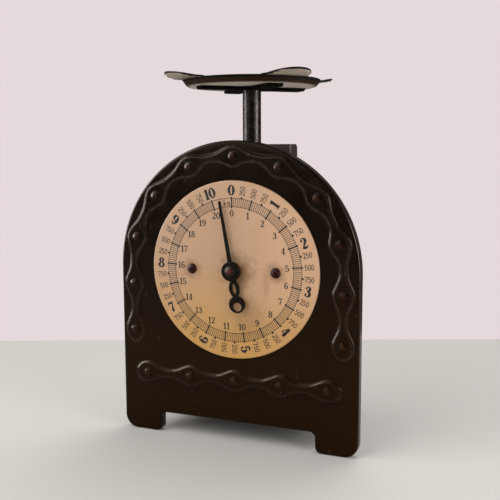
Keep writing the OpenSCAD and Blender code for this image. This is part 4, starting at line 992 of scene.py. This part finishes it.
def enamel(c, relief=True):
    """Black-brown enamel: warm patches low down, which are a painted warm reflection, small
    chips, fine scratches, and on the relief shoulders of worn paint with a painted highlight, and
    worn bead tops."""
    f = Finish("enamel_relief" if relief else "enamel")
    height = f.part("Z")
    # Painted warm reflection: the enamel turns browner low down.
    base = f.mix(f.scale(f.plus(height, f.sway(22, 4, 0.12)), 0.16, 0.05), c.paint, c.paint_warm)
    marks = f.most(f.spots(260, 0.675, 0.02), f.times(f.scratches(420, 0.72), 0.5))
    if relief:
        wear = f.attribute("wear")
        patchy = f.scale(f.noise(420, 4), 0.36, 0.66, 0.35, 1)
        # Painted highlight and warm reflection, partly worn paint: brown on the shoulders,
        # stronger where they face down and higher up the plate.
        down = f.scale(f.part("Z", f.own["Normal"]), 0.15, -0.35, 0.3, 1)
        shoulder = f.times(f.scale(wear, 0, -1, 0, 0.8), down)
        shoulder = f.times(shoulder, f.scale(height, 0.05, 0.09, 0.45, 1))
        base = f.mix(f.times(shoulder, patchy), base, c.paint_worn)
        base = f.mix(f.times(f.scale(wear, 0.25, 1, 0, 0.3), patchy), base, c.rust)
    rough, shine = (0.15, 0.11) if relief else (0.45, 0.015)
    smears = f.scale(f.noise(60, 5, 0.6), 0.3, 0.7, rough, rough + 0.12)
    peel = f.plus(f.noise(420, 2), f.times(f.noise(40, 2), 4))
    return f.set(Base_Color=f.mix(marks, base, c.bare), Specular_IOR_Level=shine,
                 Specular_Tint=(1, 0.76, 0.6), Roughness=f.plus(smears, f.times(marks, 0.25)),
                 Normal=f.bump(f.minus(peel, f.times(marks, 0.6)), 0.00003))


def aged_dial(c, centre, front, screws):
    """Printed dial sheet: pinkish cream to honey yellow, with painted light making it brighter
    towards the right, stained round hub and screws.
    """
    f = Finish("aged_dial")

    def patch(across, up, reach, ragged, tall=1):
        """A ragged patch on the dial, drawn out upwards where tall is below 1."""
        return f.halo((across, front, tall * (centre + up)), reach, ragged,
                      None if tall == 1 else f.stretch((1, 1, tall)))

    across = f.part("X")
    slant = f.plus(f.times(across, 0.1), f.part("Z"))
    pale = f.scale(f.plus(slant, f.sway(28, 4, 0.05)), centre - 0.08, centre + 0.012)
    # Painted light: the cream is painted brighter towards the right.
    cream = f.mix(f.scale(across, -0.01, 0.055), c.cream, shade(c.cream, 1.2))
    base = f.mix(pale, c.honey, cream)
    rings = f.most(patch(0.004, 0, 0.019, 1.1), *(patch(x, 0, 0.0105, 0.9) for x in screws))
    drip = patch(0.012, -0.036, 0.024, 1.4)
    run = patch(0.027, -0.007, 0.0045, 0.7, tall=0.25)
    specks = f.times(f.spots(560, 0.52, 0.08), patch(0.0125, 0, 0.0065, 0.8, tall=0.7))
    stains = f.most(f.times(rings, 0.72), f.times(drip, 0.34), f.times(run, 0.25), specks)
    base = f.mix(f.times(patch(-0.012, -0.014, 0.022, 1.2), 0.2), base, c.honey)
    base = f.mix(stains, base, c.stain)
    blotch = f.scale(f.noise(75, 4, 0.6), 0.5, 0.75)
    base = f.mix(f.times(blotch, 0.09), base, c.stain)
    base = f.mix(f.times(f.spots(330, 0.64, 0.05), 0.55), base, c.stain)
    return f.set(Base_Color=base, Roughness=f.soft(90, 4, 0.34, 0.5), Specular_IOR_Level=0.4,
                 Normal=f.grain(260, 3, 0.00002))


def print_ink(c):
    """Brown-black ink, thinner in small worn places."""
    f = Finish("print_ink")
    faded = tuple(0.75 * a + 0.25 * b for a, b in zip(c.ink, c.honey))
    return f.set(Base_Color=f.mix(f.spots(500, 0.6, 0.08), c.ink, faded), Roughness=0.5,
                 Specular_IOR_Level=0.3)


def old_steel(c, name, tint, rusted, rough=0.42, metal=0.9, shine=0.5):
    """Steel with rust that gathers in spots; rusted is how much of it shows."""
    f = Finish(name)
    rust = f.spots(180, 0.62 - 0.2 * rusted, 0.14)
    base = f.mix(f.times(f.scratches(900, 0.66), 0.5), tint, shade(tint, 1.5))
    return f.set(Base_Color=f.mix(rust, base, c.rust), Specular_IOR_Level=shine,
                 Metallic=f.minus(metal, f.times(rust, 0.75 * metal)),
                 Roughness=f.plus(f.times(rust, 0.3), rough), Normal=f.grain(900, 3, 0.00003))


def dark_slots(f, dirt, centre, floor, screws):
    """Painted shade on the floors of the screws' slots: what lies behind `floor` close to an
    axis.
    """
    # Painted shade: slot floors close to each screw's axis are darkened.
    flat = f.stretch((1, 0, 1))
    near = f.most(*(f.scale(f.distance(flat, (x, 0, centre)), 0.0028, 0.0027) for x in screws))
    deep = f.scale(f.part("Y"), floor, floor + 0.00003)
    base = f.shader["Base Color"].links[0].from_socket
    return f.set(Base_Color=f.mix(f.times(near, deep), base, dirt))


def old_brass(c):
    """Brass dulled by brown tarnish."""
    f = Finish("old_brass")
    dull = f.scale(f.noise(140, 4), 0.35, 0.7)
    return f.set(Base_Color=f.mix(dull, c.brass, shade(c.brass, 0.35)), Metallic=1,
                 Roughness=f.scale(dull, 0, 1, 0.28, 0.5), Normal=f.grain(1200, 2, 0.00002))


def lacquer(c, name="black_lacquer", rough=0.33, shine=0.07, depth=1):
    """Black lacquer with a fine grain and a few brown rubbed places."""
    f = Finish(name)
    rubbed = f.times(f.spots(300, 0.6, 0.06), 0.7)
    base = f.mix(rubbed, shade(c.lacquer, depth), shade(c.rust, 0.5 * depth))
    return f.set(Base_Color=base, Roughness=f.soft(160, 4, rough, rough + 0.2),
                 Specular_IOR_Level=shine, Specular_Tint=(1, 0.78, 0.6),
                 Normal=f.grain(700, 2, 0.00002))


def frame_paint(c, name, tint):
    """Thin dull paint on rolled steel, with rust breaking through."""
    f = Finish(name)
    lines = f.scratches(600, 0.67)
    base = f.mix(f.scale(f.noise(35, 4), 0.35, 0.7), tint, shade(tint, 0.5))
    base = f.mix(f.times(f.spots(90, 0.57, 0.12), 0.6), base, c.rust)
    return f.set(Base_Color=f.mix(f.times(lines, 0.5), base, c.steel),
                 Metallic=f.times(lines, 0.6), Roughness=f.soft(120, 3, 0.45, 0.65),
                 Specular_IOR_Level=0.18, Normal=f.grain(500, 3, 0.00004))


def browned_post(c):
    """Browned tube rubbed through to mottled steel."""
    f = Finish("browned_post")
    mottle = f.spots(240, 0.46, 0.16)
    base = f.mix(f.times(mottle, 0.14), c.post, shade(c.steel, 0.55))
    return f.set(Base_Color=f.mix(f.times(f.scratches(700, 0.64), 0.4), base, c.steel),
                 Metallic=f.times(mottle, 0.1), Roughness=f.soft(300, 4, 0.2, 0.34),
                 Specular_IOR_Level=0.13, Specular_Tint=(1, 0.9, 0.85),
                 Normal=f.bump(f.plus(mottle, f.noise(700, 3)), 0.00005))


def pan_nickel(c, under, floor_r, rim_r):
    """Old nickel, greyed and cloudy, browner at the lobes' roots, with a brown wall between
    black edges."""
    f = Finish("pan_nickel")
    value = f.attribute("browned")
    rim = f.scale(value, 0.84, 0.95)
    browned = f.scale(f.plus(value, f.sway(260, 4, 0.5)), 0.25, 0.6)
    black, grey = shade(c.lacquer, 0.3), shade(c.pan, 0.62)
    cloud = f.scale(f.noise(55, 5, 0.6), 0.35, 0.75)
    base = f.mix(f.times(cloud, 0.7), c.pan, grey)
    base = f.mix(f.times(f.spots(300, 0.63, 0.05), 0.6), base, c.rust)
    base = f.mix(f.times(f.scratches(500, 0.66), 0.35), base, grey)
    out = f.distance(f.stretch((1, 1, 0)), (0, 0, 0))
    root = f.scale(out, rim_r + 0.010, rim_r + 0.001)
    base = f.mix(f.times(root, 0.8), base, c.pan_root)
    flat = f.scale(out, floor_r + 0.0005, floor_r - 0.001)
    base = f.mix(f.times(flat, 0.8), base, c.pan_flat)
    off_middle = f.math("ABSOLUTE", f.minus(f.part("Z"), under + 0.0022))
    band = f.scale(off_middle, 0.0008, 0.0018)
    base = f.mix(browned, base, f.mix(band, c.pan_wall, black))
    bright = f.minus(1, f.most(browned, f.times(root, 0.6)))
    return f.set(Base_Color=f.mix(rim, base, black), Metallic=f.times(bright, 0.5),
                 Roughness=f.soft(130, 4, 0.36, 0.55), Specular_IOR_Level=0.08,
                 Normal=f.grain(350, 3, 0.00004))


def rubbed_cap(c, centre, front):
    """Dark cap nut with its crown rubbed to red-brown metal."""
    f = Finish("rubbed_cap")
    crown = f.halo((0, front, centre), 0.0042, 0.5)
    return f.set(Base_Color=f.mix(crown, c.lacquer, c.crown), Metallic=f.times(crown, 0.3),
                 Roughness=f.soft(900, 3, 0.3, 0.45), Specular_IOR_Level=0.12,
                 Normal=f.grain(1500, 2, 0.00003))


def finish_nodes(finish, *nodes):
    """Gives CAD nodes their finish through their objects' material slots."""
    for name in nodes:
        for slot in frame["nodes"][name].material_slots:
            slot.material = finish.material


# Stage

YAW, PITCH, ROLL = (math.radians(v) for v in (21.959, 7.286, -0.178))
EYE = Vector((0.23514196, -0.58820085, 0.23075))            # The camera's place
SENSOR, LENS = 36, 56.15                                    # In millimetres
TABLE_AHEAD, TABLE_BEHIND, TABLE_HALF = 0.935, -1.5, 2.5    # The floor's ends and half width
AIM = Vector((0, 0, 0.14))                                  # Where the lamps point
# Light of the room from the front and from behind, and what reflections see of it
ROOM = (0.26, 0.25, 0.24), (0.75, 0.72, 0.71)
DIM_ROOM = (0.05, 0.045, 0.041), (0.11, 0.10, 0.095)
# Name, place, width, height and power. A glint is seen in reflections only.
LAMPS = (("key", (-0.65, -0.85, 0.85), 1.4, 1.4, 14.5),
         ("top_glint", (-0.95, -0.6, 0.95), 0.5, 0.35, 11.5),
         ("left_glint", (-1.2, -0.4, 0.4), 0.4, 0.9, 32.0),
         ("side", (0.95, -0.35, 0.5), 0.6, 0.6, 4.0),
         ("right_glint", (1.2, -0.08, 0.3), 0.4, 0.7, 29.0),
         ("top", (0.1, 0.5, 1.1), 0.7, 0.7, 4.0))


def camera():
    """The camera at the photograph's viewing angle."""
    forward = Vector((-math.sin(YAW) * math.cos(PITCH), math.cos(YAW) * math.cos(PITCH),
                      -math.sin(PITCH)))
    right = Vector((math.cos(YAW), math.sin(YAW), 0))
    up = right.cross(forward)
    turned = right * math.cos(ROLL) + up * math.sin(ROLL)
    above = up * math.cos(ROLL) - right * math.sin(ROLL)
    made = link("camera", bpy.data.cameras.new("camera"))
    made.data.sensor_width = SENSOR
    made.data.lens = LENS
    made.data.clip_start = 0.01
    made.matrix_world = Matrix.Translation(EYE) @ Matrix(
        (turned, above, -forward)).transposed().to_4x4()
    return made


def pale_floor(c):
    """A plain floor that ends square to the camera."""
    across = np.array([math.cos(YAW), math.sin(YAW), 0])
    ahead = np.array([-math.sin(YAW), math.cos(YAW), 0])
    corners = [[[EYE.x, EYE.y, 0] + ahead * a + across * b for a in (TABLE_BEHIND, TABLE_AHEAD)]
               for b in (-TABLE_HALF, TABLE_HALF)]
    table = Patches()
    table.add(np.array(corners), flip=True)
    floor = table.make("floor", smooth=False)
    f = Finish("pale_floor")
    f.set(Base_Color=f.mix(f.noise(3), c.floor, shade(c.floor, 0.97)), Roughness=0.7,
          Specular_IOR_Level=0)
    floor.data.materials.append(f.material)


def room(c):
    """A world that is a pale wall to the camera, and a dim room in reflections."""
    world = bpy.data.worlds.new("studio")
    world.use_nodes = True
    t = Tree(world.node_tree)
    rays = t.node("LightPath").outputs
    behind = t.scale(t.part("Y", t.node("TexCoord").outputs["Generated"]), -0.3, 0.6)
    around = t.mix(rays["Is Glossy Ray"], t.mix(behind, *ROOM), t.mix(behind, *DIM_ROOM))
    seen = t.mix(rays["Is Camera Ray"], around, c.wall)
    t.feed(world.node_tree.nodes["Background"].inputs["Color"], seen)
    return world


def lamps():
    """Soft rectangular lamps that face the scale."""
    for name, spot, width, height, power in LAMPS:
        lamp = bpy.data.lights.new(name, "AREA")
        lamp.shape = "RECTANGLE"
        lamp.size = width
        lamp.size_y = height
        lamp.energy = power
        light = link(name, lamp)
        light.location = spot
        light.visible_diffuse = "glint" not in name
        light.rotation_euler = (AIM - light.location).to_track_quat("-Z", "Y").to_euler()


# Operators

class Maker:
    """What all the makers share."""
    bl_options = {"REGISTER", "UNDO"}

    def given(self, context):
        return context.scene.spring_scale


class SCALE_OT_stage(Maker, bpy.types.Operator):
    """Makes the pale floor, the backdrop, the soft lights and the camera"""
    bl_idname = "scale.stage"
    bl_label = "Stage"

    def execute(self, context):
        c = self.given(context).colours
        scene = context.scene
        scene.view_settings.view_transform = "Standard"
        scene.camera = camera()
        pale_floor(c)
        scene.world = room(c)
        lamps()
        return {"FINISHED"}


class SCALE_OT_face_plate(Maker, bpy.types.Operator):
    """Makes the pressed face plate with its chain of beads and folded edge"""
    bl_idname = "scale.face_plate"
    bl_label = "Face plate"

    def execute(self, context):
        given = self.given(context)
        piece = face_plate(given.plate)
        dress(piece, enamel(given.colours), "stand", "face_paint", "front_plate")
        return {"FINISHED"}


class SCALE_OT_dial(Maker, bpy.types.Operator):
    """Ages the dial sheet and its screws, and prints the marks and numerals"""
    bl_idname = "scale.dial"
    bl_label = "Dial"

    def execute(self, context):
        given = self.given(context)
        c = given.colours
        centre, front = given.plate.centre, dial_low[1]
        low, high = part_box("dial_screws")
        head_radius, slot_floor = 0.0041, 0.00135
        reach = (high[0] - low[0]) / 2 - head_radius
        finish_nodes(aged_dial(c, centre, front, (-reach, reach)), "dial")
        screws = old_steel(c, "browned_screw", c.screw, rusted=0.15, rough=0.4, metal=0,
                           shine=0.08)
        finish_nodes(dark_slots(screws, c.dirt, centre, front - slot_floor, (-reach, reach)),
                     "dial_screws")
        piece = dial_print(given.dial, centre, front)
        dress(piece, print_ink(c), "stand", "black_lacquer")
        return {"FINISHED"}


class SCALE_OT_pointer(Maker, bpy.types.Operator):
    """Lacquers the pointer and its hub, and rubs the cap nut"""
    bl_idname = "scale.pointer"
    bl_label = "Pointer"

    def execute(self, context):
        given = self.given(context)
        black = lacquer(given.colours)
        dress(pointer_blade(given.pointer), black, "pointer_arbor", "black_lacquer", "pointer")
        finish_nodes(black, "pointer_hub")
        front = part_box("cap_nut")[0][1]
        finish_nodes(rubbed_cap(given.colours, given.plate.centre, front), "cap_nut")
        return {"FINISHED"}


class SCALE_OT_pan(Maker, bpy.types.Operator):
    """Makes the lobed pan, and finishes its cross and post"""
    bl_idname = "scale.pan"
    bl_label = "Pan and post"

    def execute(self, context):
        given = self.given(context)
        c, z = given.colours, given.pan
        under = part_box("pan")[0][2]
        nickel = pan_nickel(c, under, z.floor, z.rim)
        dress(pan(z, under), nickel, "carriage", "pan_metal", "pan")
        finish_nodes(lacquer(c, "cross_lacquer", rough=0.5, shine=0.02, depth=0.35), "pan_cross")
        finish_nodes(browned_post(c), "post")
        return {"FINISHED"}


class SCALE_OT_springs(Maker, bpy.types.Operator):
    """Winds the two springs"""
    bl_idname = "scale.springs"
    bl_label = "Springs"

    def execute(self, context):
        given = self.given(context)
        c, z = given.colours, given.spring
        steel = old_steel(c, "spring_wire", c.wire, rusted=0.35, rough=0.34, metal=1)
        for node, low, high in (("left_spring", left_low, left_high),
                                ("right_spring", right_low, right_high)):
            middle = (low[0] + high[0]) / 2
            piece = spring(node + "_wire", middle, low[2], high[2], z)
            dress(piece, steel, None, "spring_steel", node)
            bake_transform(piece)
        return {"FINISHED"}


class SCALE_OT_frame(Maker, bpy.types.Operator):
    """Finishes the base, the spring frame, the bridge and their fasteners"""
    bl_idname = "scale.frame"
    bl_label = "Frame and base"

    def execute(self, context):
        c = self.given(context).colours
        finish_nodes(enamel(c, relief=False), "base")
        finish_nodes(frame_paint(c, "frame_paint", c.frame), "frame", "top_bar")
        finish_nodes(frame_paint(c, "bracket_paint", shade(c.frame, 0.7)), "left_bracket",
                     "right_bracket", "arbor_bridge")
        finish_nodes(old_steel(c, "fitting_steel", c.steel, rusted=0.4), "dial_spacers",
                     "dial_nuts", "base_rivets", "plate_rivets", "frame_rivets", "bar_screws",
                     "upper_eyes", "upper_eye_nuts", "rod_nut", "lower_eyes", "lower_eye_nuts",
                     "rack_screws", "pan_screw", "crosshead_pins", "post_plug")
        return {"FINISHED"}


class SCALE_OT_movement(Maker, bpy.types.Operator):
    """Finishes the crosshead, the guide rod, the rack, the pinion and the bushes"""
    bl_idname = "scale.movement"
    bl_label = "Movement"

    def execute(self, context):
        c = self.given(context).colours
        finish_nodes(old_brass(c), "front_bush", "rear_bush", "guide_bush", "rod_bush", "rack",
                     "pinion")
        finish_nodes(old_steel(c, "ground_steel", c.ground, rusted=0.1, rough=0.25, metal=1),
                     "guide_rod", "arbor")
        finish_nodes(old_steel(c, "cast_crosshead", c.cast, rusted=0.45, rough=0.55, metal=0.6),
                     "crosshead")
        return {"FINISHED"}


MAKERS = (SCALE_OT_stage, SCALE_OT_face_plate, SCALE_OT_dial, SCALE_OT_pointer, SCALE_OT_pan,
          SCALE_OT_springs, SCALE_OT_frame, SCALE_OT_movement)


class SCALE_PT_panel(bpy.types.Panel):
    """Lists the scale's makers, sizes and colours in the sidebar"""
    bl_idname = "SCALE_PT_panel"
    bl_label = "Spring scale"
    bl_space_type = "VIEW_3D"
    bl_region_type = "UI"
    bl_category = "Scale"

    def draw(self, context):
        for maker in MAKERS:
            self.layout.operator(maker.bl_idname)
        given = context.scene.spring_scale
        for part in ("plate", "dial", "pointer", "pan", "spring", "colours"):
            box = self.layout.box()
            box.label(text=part.capitalize())
            group = getattr(given, part)
            for name in group.__annotations__:
                box.prop(group, name)


CLASSES = (PlateSizes, DialSizes, PointerSizes, PanSizes, SpringSizes, ScaleColours,
           ScaleSettings, *MAKERS, SCALE_PT_panel)


def register():
    for item in CLASSES:
        bpy.utils.register_class(item)
    bpy.types.Scene.spring_scale = PointerProperty(type=ScaleSettings)


def unregister():
    del bpy.types.Scene.spring_scale
    for item in reversed(CLASSES):
        bpy.utils.unregister_class(item)


def main():
    register()
    bpy.ops.scale.stage()
    bpy.ops.scale.face_plate()
    bpy.ops.scale.dial()
    bpy.ops.scale.pointer()
    bpy.ops.scale.pan()
    bpy.ops.scale.springs()
    bpy.ops.scale.frame()
    bpy.ops.scale.movement()


if __name__ == "__main__":
    main()
